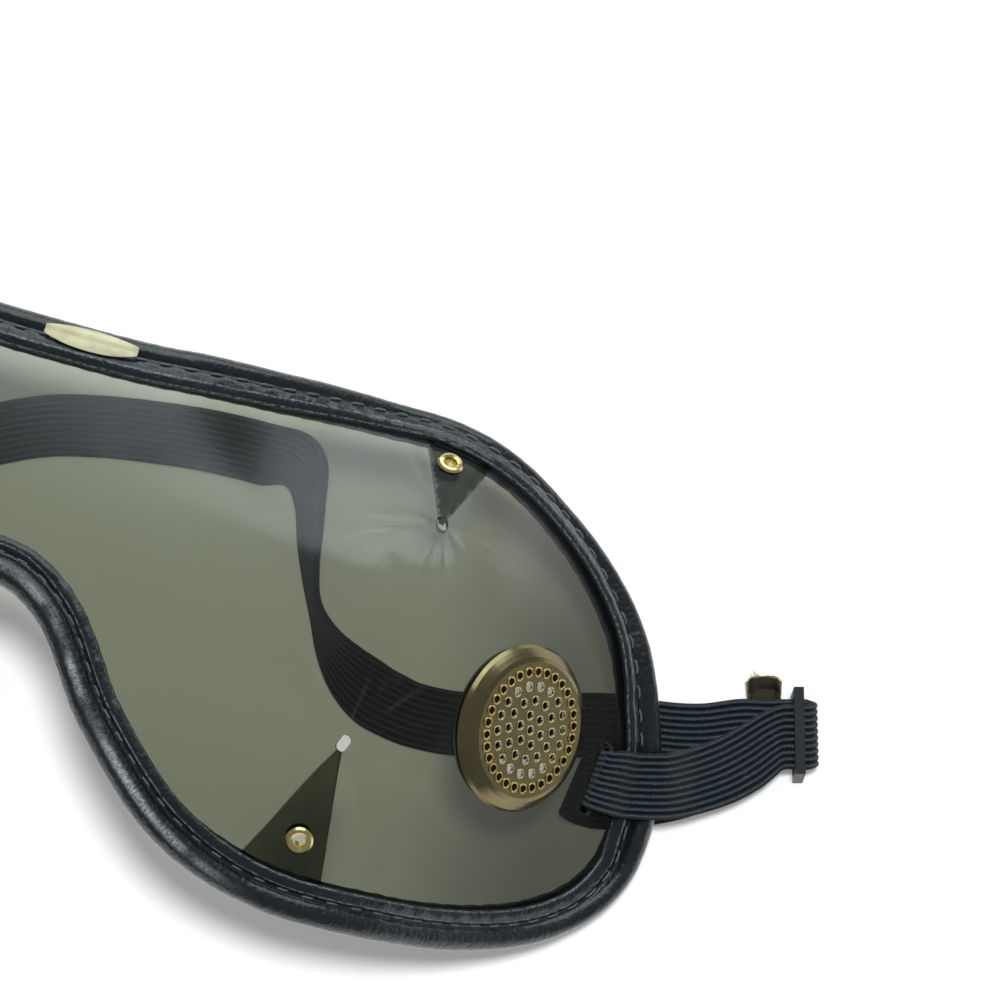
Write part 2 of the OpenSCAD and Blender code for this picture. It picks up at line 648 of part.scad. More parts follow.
// Slider: an upright plate with two windows, the strap looped round its middle bar
module strap_slider() {
  window_l = strap_w + 2*side_shift + 2*gap;
  color([0.1, 0.1, 0.12])
    translate([slider_at[0], slider_at[1], 0])
      rotate([0, 0, run_dir])
        difference() {
          translate([-slider_t/2, -slider_l/2, table_gap])
            cube([slider_t, slider_l, top_bar_z + slider_bar - table_gap]);
          translate([-slider_t, -window_l/2, table_gap + slider_bar])
            cube([2*slider_t, window_l, middle_bar_z - table_gap - slider_bar]);
          translate([-slider_t, -window_l/2, middle_bar_z + slider_bar])
            cube([2*slider_t, window_l, top_bar_z - middle_bar_z - slider_bar]);
        }
}

// Ferrule: a flattened brass tube crimped on the strap's gathered end
module flat_oval(w, h) {
  for (s = [-1, 1])
    translate([s*(w - h)/2, 0]) circle(d = h, $fn = 32);
  square([w - h, h], center = true);
}
module end_ferrule() {
  wall = 0.3;
  color([0.7, 0.55, 0.25])
    translate([ferrule_at[0], ferrule_at[1], ferrule_h/2])
      rotate([0, 0, run_dir])
        rotate([90, 0, 0])
          linear_extrude(height = ferrule_l, center = true)
            difference() {
              flat_oval(ferrule_w, ferrule_h);
              flat_oval(ferrule_w - 2*wall, ferrule_h - 2*wall);
            }
}

lens();
edge_binding();
foam_core();
binding_stitches();
foil_label();
vent_cap();  // vent_cap_left
mirrored() vent_cap();  // vent_cap_right
vent_ring();  // vent_ring_left
mirrored() vent_ring();  // vent_ring_right
eyelet(upper_eye);  // upper_eyelet_left
mirrored() eyelet(upper_eye);  // upper_eyelet_right
eyelet(lower_eye);  // lower_eyelet_left
mirrored() eyelet(lower_eye);  // lower_eyelet_right
strap_tail();  // strap_tail_left
mirrored() strap_tail();  // strap_tail_right
strap_front();  // strap_front_left
mirrored() strap_front();  // strap_front_right
strap_run();  // strap_run_left
mirrored() strap_run();  // strap_run_right
strap_turn();
strap_middle();
strap_slider();  // strap_slider_left
mirrored() strap_slider();  // strap_slider_right
end_ferrule();  // end_ferrule_left
mirrored() end_ferrule();  // end_ferrule_right
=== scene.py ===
import math
import bpy
import numpy as np
from mathutils import Matrix, Vector, noise


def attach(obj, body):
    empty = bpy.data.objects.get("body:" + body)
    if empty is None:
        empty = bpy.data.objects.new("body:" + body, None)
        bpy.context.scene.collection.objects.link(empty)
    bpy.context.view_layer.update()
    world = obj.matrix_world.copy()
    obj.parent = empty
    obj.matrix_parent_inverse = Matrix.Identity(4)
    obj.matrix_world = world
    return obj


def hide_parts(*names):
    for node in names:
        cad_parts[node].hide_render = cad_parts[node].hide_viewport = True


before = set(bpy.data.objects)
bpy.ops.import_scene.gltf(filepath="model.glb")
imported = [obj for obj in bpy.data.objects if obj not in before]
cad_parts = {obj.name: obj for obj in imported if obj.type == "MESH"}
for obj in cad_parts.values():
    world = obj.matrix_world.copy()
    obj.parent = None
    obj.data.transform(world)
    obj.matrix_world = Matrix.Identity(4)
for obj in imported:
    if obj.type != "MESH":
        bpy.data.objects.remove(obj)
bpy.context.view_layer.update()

MM = 0.001
BODY = "goggles"

# The part's own values and formulas, in millimetres, as in its source.
TEMPLE_X, LENS_T = 97.0, 0.8
BEND_START, BEND_R, ANGLE = 50.0, 25.0, math.radians(47)
BROW_SLOPE, CHEEK_SLOPE = 0.6, 0.5
HEM_W, BEAD_H, ROLL_W, ROLL_H, SKIN_T, GAP = 4.4, 1.3, 4.0, 5.6, 0.6, 0.1
ROLL_O, ROLL_N, ROLL_REACH = 0.2, -0.2, 2.9
MID_Y, FLAT, RAMP_W, LEAN = -2.5, 12.0, 8.0, 0.15
STRAP_W, STRAP_T = 10.0, 1.1
FERRULE_W, FERRULE_L, FERRULE_H = 5.5, 8.0, 2.2
SLIDER_BAR = 1.1
EDGE = ROLL_O - ROLL_W / 2 + SKIN_T - 0.1
REST_Z = 2 * STRAP_T + 2 * GAP + ROLL_REACH
OUTLINE = np.array([
    (0, 32), (14, 32.3), (28, 34), (42, 36.6), (56, 37.5), (70, 33.8), (82, 26), (91, 14), (97, -3),
    (95.5, -17.5), (85, -28.5), (68, -35.6), (50, -37.5), (34, -33.3), (20.5, -22), (10, -8.9), (0, -4.2)])
HALF = len(OUTLINE) - 1
RINGS = 8 * HALF
DARTS = [((59, 20.7), (57, 31), (18, 15), 12), ((55, -14.8), (52.4, -28.9), (49.5, 46.5), -20)]
VENT, SLOT = (TEMPLE_X - 20, -2.5), (TEMPLE_X - 7.6, -4.0)
VENT_H, FIELD_R = 2.7, 9.5


def smooth(t):
    t = np.clip(t, 0, 1)
    return t * t * (3 - 2 * t)


def drop(x):
    d = np.maximum(0, x - BEND_START)
    a = BEND_R * math.sin(ANGLE)
    arc = BEND_R - np.sqrt(np.maximum(0, BEND_R ** 2 - np.minimum(d, a) ** 2))
    return np.where(d < a, arc, BEND_R * (1 - math.cos(ANGLE)) + (d - a) * math.tan(ANGLE))


def ramp(d):
    d = np.maximum(d, 0)
    return np.where(d < RAMP_W, d * d / (2 * RAMP_W), d - RAMP_W / 2)


def lean_of(d):
    m, w = np.abs(d), 8.0
    mid = m - (m - 12) ** 2 / (2 * w)
    return np.sign(d) * np.where(m < 12, m, np.where(m < 20, mid, 12 + w / 2))


LENS_TOP = REST_Z + float(drop(TEMPLE_X)) - 1


def height(x, y):
    x, y = np.asarray(x, float), np.asarray(y, float)
    d = y - MID_Y
    fade = smooth((np.abs(x) - 16) / 38)
    raw = LENS_TOP - drop(np.abs(x) - LEAN * lean_of(d)) - fade * (
        BROW_SLOPE * ramp(d - FLAT) + CHEEK_SLOPE * ramp(-d - FLAT))
    base = ROLL_REACH + (REST_Z - ROLL_REACH) * smooth((y + 16) / 7)
    v = (raw - base) / 1.8
    return base + 1.8 * np.where(v > 30, v, np.log1p(np.exp(np.minimum(v, 30))))


def unit(v):
    return v / np.maximum(np.linalg.norm(v, axis=-1, keepdims=True), 1e-12)


def normal(x, y, h=height, e=0.05):
    level = 2 * e * np.ones_like(np.asarray(x, float))
    return unit(np.stack([h(x - e, y) - h(x + e, y), h(x, y - e) - h(x, y + e), level], -1))


def on_lens(x, y, n=0.0):
    x, y = np.asarray(x, float), np.asarray(y, float)
    return np.stack([x, y, height(x, y)], -1) + np.asarray(n)[..., None] * normal(x, y)


def catmull(a, b, c, d, t):
    return 0.5 * (2 * b + (c - a) * t + (2 * a - 5 * b + 4 * c - d) * t * t + (3 * b - a - 3 * c + d) * t ** 3)


def outline_at(i):
    k = np.mod(i, 2 * HALF)
    m = np.where(k <= HALF, k, 2 * HALF - k)
    s = np.where(k <= HALF, 1.0, -1.0)
    return OUTLINE[m] * np.stack([s, np.ones_like(s)], -1)


def rim_point(s):
    s = np.mod(np.asarray(s, float), RINGS)
    i = np.floor(s / 4).astype(int)
    t = (s / 4 - i)[..., None]
    p = catmull(outline_at(i - 1), outline_at(i), outline_at(i + 1), outline_at(i + 2), t)
    return on_lens(p[..., 0], p[..., 1])


def rim_frame(s):
    p = rim_point(s)
    t = unit(rim_point(s + 1) - rim_point(s - 1))
    n = normal(p[..., 0], p[..., 1])
    n = unit(n - (n * t).sum(-1, keepdims=True) * t)
    return p, t, n, np.cross(n, t)


def at_rim(s, o, n):
    p, t, m, w = rim_frame(np.asarray(s, float))
    return p + np.asarray(o)[..., None] * w + np.asarray(n)[..., None] * m


def fbm(p, scale, seed=0.0, octaves=3):
    """Noise of points in mm, about -1 to 1, the same each run."""
    q = np.asarray(p, float).reshape(-1, 3) / scale + seed
    out = np.array([noise.fractal(Vector(v), 1.0, 2.0, octaves) for v in q])
    return out.reshape(np.asarray(p).shape[:-1])


# ---------------------------------------------------------------- meshes
def new_mesh(name, verts_mm, faces, material, smooth_faces=True, uv=None):
    me = bpy.data.meshes.new(name)
    me.from_pydata([tuple(v) for v in np.asarray(verts_mm) * MM], [], [tuple(int(i) for i in f) for f in faces])
    me.validate()
    if uv is not None:
        layer = me.uv_layers.new(name="UVMap")
        corners = np.asarray(uv, float)[read(me.loops, "vertex_index")]
        layer.data.foreach_set("uv", corners.astype(np.float32).ravel())
    if smooth_faces:
        me.shade_smooth()
    o = bpy.data.objects.new(name, me)
    bpy.context.scene.collection.objects.link(o)
    me.materials.append(material)
    return o


def sweep(rings, closed=True, cap=False):
    """Quads between rings of points, each ring closed round its section."""
    k, m = rings.shape[:2]
    a = np.arange(k if closed else k - 1)
    b = (a + 1) % k
    j = np.arange(m)
    e = (j + 1) % m
    q = np.stack([a[:, None] * m + j, a[:, None] * m + e, b[:, None] * m + e, b[:, None] * m + j], -1).reshape(-1, 4)
    faces = [list(f) for f in q]
    if cap and not closed:
        faces += [list(range(m))[::-1], [(k - 1) * m + i for i in range(m)]]
    return rings.reshape(-1, 3), faces


def read(items, what, width=0):
    """An attribute of a mesh's vertices, loops or faces: whole numbers, or rows of width values."""
    whole = what in ("vertices", "vertex_index", "loop_total")
    values = np.empty(len(items) * max(1, width), dtype=np.int32 if whole else float)
    items.foreach_get(what, values)
    return values.reshape(-1, width) if width else values


def outward(o):
    """Turns the faces of a closed mesh to face out."""
    me = o.data
    me.calc_loop_triangles()
    v, t = read(me.vertices, "co", 3), read(me.loop_triangles, "vertices", 3)
    if np.einsum("ij,ij->i", v[t[:, 0]], np.cross(v[t[:, 1]], v[t[:, 2]])).sum() < 0:
        me.flip_normals()
    return o


def join(name, objs):
    """One object of several, keeping the first one's material."""
    bpy.ops.object.select_all(action="DESELECT")
    for o in objs:
        o.select_set(True)
    bpy.context.view_layer.objects.active = objs[0]
    bpy.ops.object.join()
    objs[0].name = objs[0].data.name = name
    return objs[0]


def thin_sheet(rows, cols):
    """Faces of a closed thin sheet: two grids of points, joined round their edge."""
    size, faces = rows * cols, []
    for i in range(rows - 1):
        for j in range(cols - 1):
            a = i * cols + j
            faces += [[a, a + 1, a + cols + 1, a + cols],
                      [size + a, size + a + cols, size + a + cols + 1, size + a + 1]]
    edge = [i * cols for i in range(rows)] + [(rows - 1) * cols + j for j in range(1, cols)]
    edge += [i * cols + cols - 1 for i in range(rows - 2, -1, -1)] + [j for j in range(cols - 2, 0, -1)]
    return faces + [[a, b, b + size, a + size] for a, b in zip(edge, edge[1:] + edge[:1])]


def joined(parts):
    """One mesh of several (points, faces) pairs."""
    verts, faces = [], []
    for v, f in parts:
        base = sum(len(x) for x in verts)
        verts.append(v)
        faces += [[i + base for i in face] for face in f]
    return np.concatenate(verts), faces


def ring_of(count):
    return np.arange(count) / count * 2 * math.pi


# ---------------------------------------------------------------- materials
class Mat:
    """A Principled material with helpers for its nodes. Lengths in a bump are metres."""

    def __init__(self, name, color, rough=0.5, metal=0.0, **extra):
        self.m = bpy.data.materials.new(name)
        self.m.use_nodes = True
        self.t = self.m.node_tree
        self.b = self.t.nodes["Principled BSDF"]
        self.b.inputs["Base Color"].default_value = (*color, 1)
        self.b.inputs["Roughness"].default_value = rough
        self.b.inputs["Metallic"].default_value = metal
        for key, value in extra.items():
            self.b.inputs[key.replace("_", " ")].default_value = value
        self.bump_in = None

    def node(self, kind, **values):
        n = self.t.nodes.new(kind)
        for key, value in values.items():
            if key in n.inputs:
                n.inputs[key].default_value = value
            else:
                setattr(n, key, value)
        return n

    def link(self, a, b):
        self.t.links.new(a, b)

    def coords(self, scale=(1, 1, 1), uv=False):
        c = self.node("ShaderNodeTexCoord")
        m = self.node("ShaderNodeMapping")
        m.inputs["Scale"].default_value = scale
        self.link(c.outputs["UV" if uv else "Object"], m.inputs["Vector"])
        return m.outputs["Vector"]

    def noise(self, scale, vec=None, detail=3.0, rough=0.55, distort=0.0):
        n = self.node("ShaderNodeTexNoise", Scale=scale, Detail=detail, Roughness=rough, Distortion=distort)
        self.link(vec if vec is not None else self.coords(), n.inputs["Vector"])
        return n.outputs["Fac"]

    def ramp(self, fac, stops):
        r = self.node("ShaderNodeValToRGB")
        els = r.color_ramp.elements
        while len(els) < len(stops):
            els.new(0.5)
        for el, (pos, col) in zip(els, stops):
            el.position = pos
            el.color = (*col, 1) if isinstance(col, tuple) else (col, col, col, 1)
        self.link(fac, r.inputs["Fac"])
        return r.outputs["Color"]

    def math(self, op, a, b=0.5):
        n = self.node("ShaderNodeMath", operation=op)
        for i, v in enumerate((a, b)):
            if isinstance(v, (int, float)):
                n.inputs[i].default_value = v
            else:
                self.link(v, n.inputs[i])
        return n.outputs[0]

    def times(self, a, *rest):
        for b in rest:
            a = self.math("MULTIPLY", a, b)
        return a

    def between(self, value, low, high):
        """0 at low, 1 at high, smooth between them; low may be the greater one."""
        n = self.node("ShaderNodeMapRange", interpolation_type="SMOOTHSTEP")
        n.inputs["From Min"].default_value, n.inputs["From Max"].default_value = low, high
        self.link(value, n.inputs["Value"])
        return n.outputs["Result"]

    def mixed(self, fac, a, b):
        n = self.node("ShaderNodeMix", data_type="RGBA")
        self.link(fac, n.inputs["Factor"])
        for i, v in ((6, a), (7, b)):
            if isinstance(v, tuple):
                n.inputs[i].default_value = (*v, 1)
            else:
                self.link(v, n.inputs[i])
        return n.outputs[2]

    def color(self, out):
        self.link(out, self.b.inputs["Base Color"])

    def rough(self, fac, low, high):
        n = self.node("ShaderNodeMapRange")
        n.inputs["To Min"].default_value = low
        n.inputs["To Max"].default_value = high
        self.link(fac, n.inputs["Value"])
        self.link(n.outputs["Result"], self.b.inputs["Roughness"])

    def bump(self, height_out, distance, strength=1.0):
        n = self.node("ShaderNodeBump", Strength=strength, Distance=distance)
        self.link(height_out, n.inputs["Height"])
        if self.bump_in is not None:
            self.link(self.bump_in, n.inputs["Normal"])
        self.bump_in = n.outputs["Normal"]
        self.link(self.bump_in, self.b.inputs["Normal"])


def leather_material():
    """The first UV axis follows the rim in millimetres, the second goes round the section."""
    k = Mat("leatherette", (0.004, 0.007, 0.01), 0.36, Specular_IOR_Level=0.4, Coat_Weight=0.45, Coat_Roughness=0.1,
            Coat_IOR=1.6)
    wear = k.noise(90, detail=5)
    base = k.ramp(wear, [(0.3, (0.002, 0.004, 0.006)), (0.55, (0.004, 0.007, 0.01)), (0.78, (0.009, 0.015, 0.019))])
    uv = k.node("ShaderNodeTexCoord").outputs["UV"]
    axes = k.node("ShaderNodeSeparateXYZ")
    k.link(uv, axes.inputs[0])
    where = k.node("ShaderNodeSeparateXYZ")
    k.link(k.coords(), where.inputs[0])
    below = k.between(where.outputs[1], 0.002, -0.006)
    # Painted highlight: thin lighter lines along the hem's crest and along its inner edge, broken up by fine noise,
    # stand in for the lamps' glints there.
    lines = []
    for place, half, share in ((2.15, 0.3, 1.0), (0.8, 0.3, 0.8)):
        mid_y = k.math("ADD", k.times(below, 0.95 if place > 2 else 0.0), place)
        off = k.math("ABSOLUTE", k.math("SUBTRACT", axes.outputs[1], mid_y))
        lines.append(k.times(k.between(off, half, 0.0), share))
    grain = k.noise(1.0, k.coords((1.4, 3.4, 1), uv=True), detail=4, rough=0.7)
    painted_crest_highlight = k.times(k.between(grain, 0.4, 0.6), k.math("MAXIMUM", *lines))
    # Painted sheen: on the nose arms a lighter band of crosswise wrinkles along the roll's top stands in for its
    # highlight.
    on_top = k.between(k.math("ABSOLUTE", k.math("SUBTRACT", axes.outputs[1], 6.3)), 0.85, 0.05)
    arm = k.times(below, k.between(k.math("ABSOLUTE", where.outputs[0]), 0.05, 0.032))
    folds = k.noise(1.0, k.coords((3.8, 1.8, 1), uv=True), detail=3, rough=0.6)
    patch = k.between(k.noise(1.0, k.coords((0.12, 0.1, 1), uv=True), detail=2), 0.3, 0.6)
    painted_sheen = k.times(on_top, arm, patch, k.between(folds, 0.22, 0.7))
    k.color(k.mixed(painted_sheen, k.mixed(painted_crest_highlight, base, (0.15, 0.18, 0.19)), (0.36, 0.41, 0.42)))
    k.rough(k.noise(420, detail=4), 0.28, 0.46)
    cell = k.node("ShaderNodeTexVoronoi", Scale=1500.0, Randomness=1.0)
    cell.feature = "SMOOTH_F1"
    k.link(k.coords(), cell.inputs["Vector"])
    k.bump(cell.outputs["Distance"], 0.00022, 0.8)
    k.bump(k.noise(1.0, k.coords((0.85, 0.16, 1), uv=True), detail=5, rough=0.6, distort=0.4), 0.0003, 0.6)
    k.bump(k.noise(1.0, k.coords((2.6, 0.5, 1), uv=True), detail=3), 0.0002, 0.6)
    return k.m


def lens_material(name, shade, gloss):
    """Tinted clear sheet: it passes tinted light and lamps, and only its gloss and a slight haze show."""
    k = Mat(name, (0.86, 0.9, 0.93), 0.2, 0.75)
    k.rough(k.noise(240, detail=5), 0.14, 0.3)
    k.bump(k.noise(45, detail=2), 0.0004 * gloss, 0.2)
    axes = k.node("ShaderNodeSeparateXYZ")
    k.link(k.coords(), axes.inputs[0])
    across = k.math("ABSOLUTE", axes.outputs[0])
    streaks = []
    for tip in (DARTS[0][0], DARTS[1][0]):
        dx = k.math("SUBTRACT", across, tip[0] * MM)
        dy = k.math("SUBTRACT", axes.outputs[1], tip[1] * MM)
        far = k.math("SQRT", k.math("ADD", k.times(dx, dx), k.times(dy, dy)))
        fan = k.node("ShaderNodeCombineXYZ")
        k.link(k.times(k.math("ARCTAN2", dy, dx), 5.5), fan.inputs[0])
        k.link(k.times(far, 60.0), fan.inputs[1])
        ridge = k.noise(1.0, fan.outputs[0], detail=2.5, rough=0.6)
        fade = k.between(far, 0.022, 0.003)
        k.bump(k.times(ridge, k.times(fade, far)), 0.035 * gloss, 0.4)
        streaks.append(k.times(k.between(ridge, 0.54, 0.72), fade))
    side = k.between(across, 0.06, 0.086)
    brow = k.times(k.between(axes.outputs[1], 0.006, 0.03), k.between(across, 0.05, 0.02))
    low = k.between(axes.outputs[1], -0.008, -0.028)
    # The see-through tint varies a little at random. Over the brow it is lighter, a painted light on the table seen
    # through the sheet; at the temples it is darker, partly for the longer path through the tilted sheet and partly
    # as painted shade; and it is darker towards the bottom.
    parts = [k.times(k.noise(30, detail=2), 0.12), k.times(k.math("SUBTRACT", 1.0, brow), 0.26),
             k.times(side, 0.54), k.times(low, 0.15)]
    tint_tone_and_shade = k.math("ADD", k.math("ADD", parts[0], parts[1]), k.math("ADD", parts[2], parts[3]))
    tint = k.ramp(tint_tone_and_shade, [(place, tuple(c * shade * part for c in LENS_TINT))
                           for place, part in ((0.0, 1.08), (0.32, 1.0), (1.0, 0.72))])
    see = k.node("ShaderNodeBsdfTransparent")
    k.link(tint, see.inputs["Color"])
    edge = k.node("ShaderNodeFresnel", IOR=1.64)
    front = k.math("SUBTRACT", 1.0, k.node("ShaderNodeNewGeometry").outputs["Backfacing"])
    k.link(k.bump_in, edge.inputs["Normal"])
    mix = k.node("ShaderNodeMixShader")
    calm = k.between(axes.outputs[1], 0.014, -0.006)
    keep = k.math("SUBTRACT", 1.0, k.math("MAXIMUM", k.times(side, 0.72), k.times(calm, 0.6)))
    haze = k.times(k.math("MAXIMUM", *streaks), 0.06)
    shine = k.math("ADD", k.times(edge.outputs[0], keep), haze)
    k.link(k.times(shine, gloss, front), mix.inputs[0])
    k.link(see.outputs[0], mix.inputs[1])
    k.link(k.b.outputs[0], mix.inputs[2])
    k.link(mix.outputs[0], k.t.nodes["Material Output"].inputs["Surface"])
    return k.m


def elastic_material():
    """The second UV axis runs across the strap in millimetres, with a rib on each of them."""
    k = Mat("elastic", (0.018, 0.022, 0.032), 0.72, Specular_IOR_Level=0.25, Sheen_Weight=0.08, Sheen_Roughness=0.4)
    uv = k.node("ShaderNodeTexCoord").outputs["UV"]
    axes = k.node("ShaderNodeSeparateXYZ")
    k.link(uv, axes.inputs[0])
    rib = k.math("ABSOLUTE", k.math("SINE", k.times(k.math("ADD", axes.outputs[1], 5.0), math.pi)))
    yarn = k.noise(1.0, k.coords((3.2, 6.0, 1), uv=True), detail=3, rough=0.7)
    # Painted light and shade: the rib crests are coloured lighter and the grooves between them darker, with a random
    # yarn tone on top.
    painted_rib_shading = k.times(rib, k.math("ADD", yarn, 0.3))
    base = k.ramp(painted_rib_shading, [(0.3, (0.002, 0.003, 0.005)), (0.6, (0.008, 0.014, 0.019)), (0.95, (0.075, 0.1, 0.115))])
    # Light specks on the rib crests are painted glints.
    painted_glint = k.math("GREATER_THAN", k.noise(1.0, k.coords((2.2, 4.2, 1), uv=True), detail=1), 0.7)
    k.color(k.mixed(k.times(painted_glint, rib), base, (0.12, 0.145, 0.165)))
    for turn, size in ((0.0, 2.4), (0.9, 2.0)):
        w = k.node("ShaderNodeTexWave", Scale=size, Distortion=1.2, Detail=1.5)
        w.bands_direction = "X"
        m = k.node("ShaderNodeMapping")
        m.inputs["Rotation"].default_value = (0, 0, turn)
        k.link(uv, m.inputs["Vector"])
        k.link(m.outputs["Vector"], w.inputs["Vector"])
        k.bump(w.outputs["Fac"], 0.00008, 0.5)
    return k.m


def brass_material(name, color, rough=0.24, dark=0.7):
    k = Mat(name, color, rough, 1.0)
    tone = k.noise(90, detail=6, rough=0.6)
    k.color(k.ramp(tone, [(0.3, tuple(c * dark for c in color)), (0.55, color),
                          (0.8, tuple(min(1, c * 1.1) for c in color))]))
    k.rough(k.noise(500, detail=4), rough * 0.75, rough * 1.6)
    k.bump(k.noise(1600, detail=2), 0.00001, 0.4)
    return k.m


def plain_material(name, color, rough, bump_scale=1200.0, bump_mm=0.03, **extra):
    k = Mat(name, color, rough, **extra)
    dark, light = tuple(c * 0.75 for c in color), tuple(c * 1.2 for c in color)
    k.color(k.ramp(k.noise(260, detail=4), [(0.3, dark), (0.7, light)]))
    k.rough(k.noise(380), rough * 0.8, min(1, rough * 1.25))
    k.bump(k.noise(bump_scale, detail=3), bump_mm * MM, 0.5)
    return k.m


LEATHER = leather_material()
LENS_TINT = (0.583, 0.6, 0.529)
LENS = lens_material("tinted_sheet", 1.0, 1.0)
LAP = lens_material("tinted_sheet_lap", 0.84, 0.1)
PRESSED = lens_material("tinted_sheet_pressed", 0.93, 0.3)
CUT = plain_material("tinted_sheet_cut", (0.02, 0.024, 0.014), 0.25)
ELASTIC = elastic_material()
BRASS = brass_material("brass", (0.235, 0.2, 0.1), 0.2)
AMBER = brass_material("brass_lacquered", (0.66, 0.5, 0.2), 0.2)
# This bright brass is a painted highlight on the vents' hole lips and round the ferrules' open ends.
HIGHLIGHT_BRASS = brass_material("brass_painted_highlight", (0.85, 0.74, 0.42), 0.16)
GOLD = brass_material("brass_eyelet", (0.8, 0.68, 0.3), 0.2)
DULL_BRASS = brass_material("brass_dull", (0.15, 0.13, 0.085), 0.36, 0.5)
THREAD = plain_material("thread", (0.09, 0.1, 0.11), 0.45, 3000, 0.05)
FOAM = plain_material("foam", (0.6, 0.56, 0.42), 0.95, 900, 0.3)
FOIL = plain_material("foil", (0.56, 0.55, 0.36), 0.42, 500, 0.05, Metallic=0.15)
PLASTIC = plain_material("black_plastic", (0.012, 0.013, 0.016), 0.45, 2500, 0.02)
FRAY = plain_material("frayed_yarn", (0.09, 0.1, 0.12), 0.9, 4000, 0.04)


# ---------------------------------------------------------------- rim
def arc_lengths(count, offset):
    """Rim parameters that are evenly spaced along the rim, and the rim's length."""
    s = np.linspace(0, RINGS, 4097)
    p = at_rim(s, np.full_like(s, offset), np.zeros_like(s))
    run = np.concatenate([[0], np.cumsum(np.linalg.norm(np.diff(p, axis=0), axis=1))])
    return np.interp(np.linspace(0, run[-1], count, endpoint=False), run, s), run[-1]


PITCH_COUNT = 144
SLOT_HALF = LENS_T / 2 + 2.5 * GAP


def lerp(a, b, t):
    return a + (b - a) * t


def station_shape(s):
    """Groove place, roll centre and roll half axes: low and narrow at the brow, fat round the nose."""
    m = np.abs((np.asarray(s, float) + RINGS / 2) % RINGS - RINGS / 2)
    brow, nose = smooth((28 - m) / 8), smooth((m - 38) / 8)
    keep = 1 - brow - nose
    rows = np.array([(-1.9, 1.2, 0.2, -0.2, 2.0, 2.8), (-1.45, 1.3, 0.0, -1.25, 1.95, 2.55),
                     (-2.3, 1.2, 0.0, -0.2, 2.2, 2.75)])
    return keep[:, None] * rows[0] + brow[:, None] * rows[1] + nose[:, None] * rows[2]


def arcs(c_o, c_n, a, b, a0, a1, count):
    t = np.linspace(0, 1, count)[None, :]
    ang = a0[:, None] + (a1 - a0)[:, None] * t
    return np.stack([c_o[:, None] + a[:, None] * np.cos(ang), c_n[:, None] + b[:, None] * np.sin(ang)], -1)


def curve_rows(rows, sub):
    """Catmull-Rom curves through each station's own points."""
    q = np.concatenate([rows[:, :1], rows, rows[:, -1:]], 1)
    out = []
    for i in range(rows.shape[1] - 1):
        for t in np.arange(sub) / sub:
            out.append(catmull(q[:, i], q[:, i + 1], q[:, i + 2], q[:, i + 3], t))
    return np.stack(out + [rows[:, -1]], 1)


def curve_through(points, sub):
    return curve_rows(np.asarray(points, float)[None], sub)[0]


def sections(s):
    og, ng, co, cn, a, b = station_shape(s).T
    one = np.ones_like(og)
    start = np.arccos(np.clip((og + 0.4 - co) / a, -0.98, 0.98))
    end = np.arccos(np.clip((-1.5 - co) / a, -0.98, 0.98))
    front = np.stack([
        np.stack([-4.4 * one, SLOT_HALF * one], -1), np.stack([-4.48 * one, 1.0 * one], -1),
        np.stack([-4.25 * one, 1.4 * one], -1), np.stack([lerp(-4.4, og, 0.28), 1.66 * one], -1),
        np.stack([lerp(-4.4, og, 0.55), 1.66 * one], -1), np.stack([og - 0.45, 1.52 * one], -1),
        np.stack([og, ng], -1)], 1)
    front = curve_rows(front, 3)
    back = np.stack([
        np.stack([-1.9 * one, -1.1 * one], -1), np.stack([-2.4 * one, -1.45 * one], -1),
        np.stack([-3.2 * one, -1.7 * one], -1), np.stack([-4.1 * one, -1.5 * one], -1),
        np.stack([-4.46 * one, -1.0 * one], -1), np.stack([-4.4 * one, -SLOT_HALF * one], -1)], 1)
    back = curve_rows(back, 3)
    outer = arcs(co, cn, a, b, start, -end, 36)
    pw, ph = a - SKIN_T, b - SKIN_T
    low = np.arcsin(np.clip((-SLOT_HALF - cn) / ph, -1, 1))
    high = np.arcsin(np.clip((SLOT_HALF - cn) / ph, -1, 1))
    inner = arcs(co, cn, pw, ph, -math.pi - low, math.pi - high, 18)
    return np.concatenate([front, outer, back, inner], 1), front.shape[1], outer.shape[1], back.shape[1]


STATIONS = 1600
s_rim, rim_length = arc_lengths(STATIONS, -1.5)
u_rim = np.arange(STATIONS) / STATIONS * rim_length
P, T, N, W = rim_frame(s_rim)
section, n_front, n_outer, n_back = sections(s_rim)
points = section.shape[1]
d_sec = np.roll(section, -1, 1) - np.roll(section, 1, 1)
out_sec = unit(np.stack([d_sec[..., 1], -d_sec[..., 0]], -1))
mid = n_front + n_outer // 2
if out_sec[0, mid, 0] < 0:
    out_sec = -out_sec
n_round = n_front + n_outer


def mask(*spans):
    """1 at the section's points in the spans, 0 elsewhere."""
    m = np.zeros(points)
    for first, last in spans:
        m[first:last] = 1
    return m


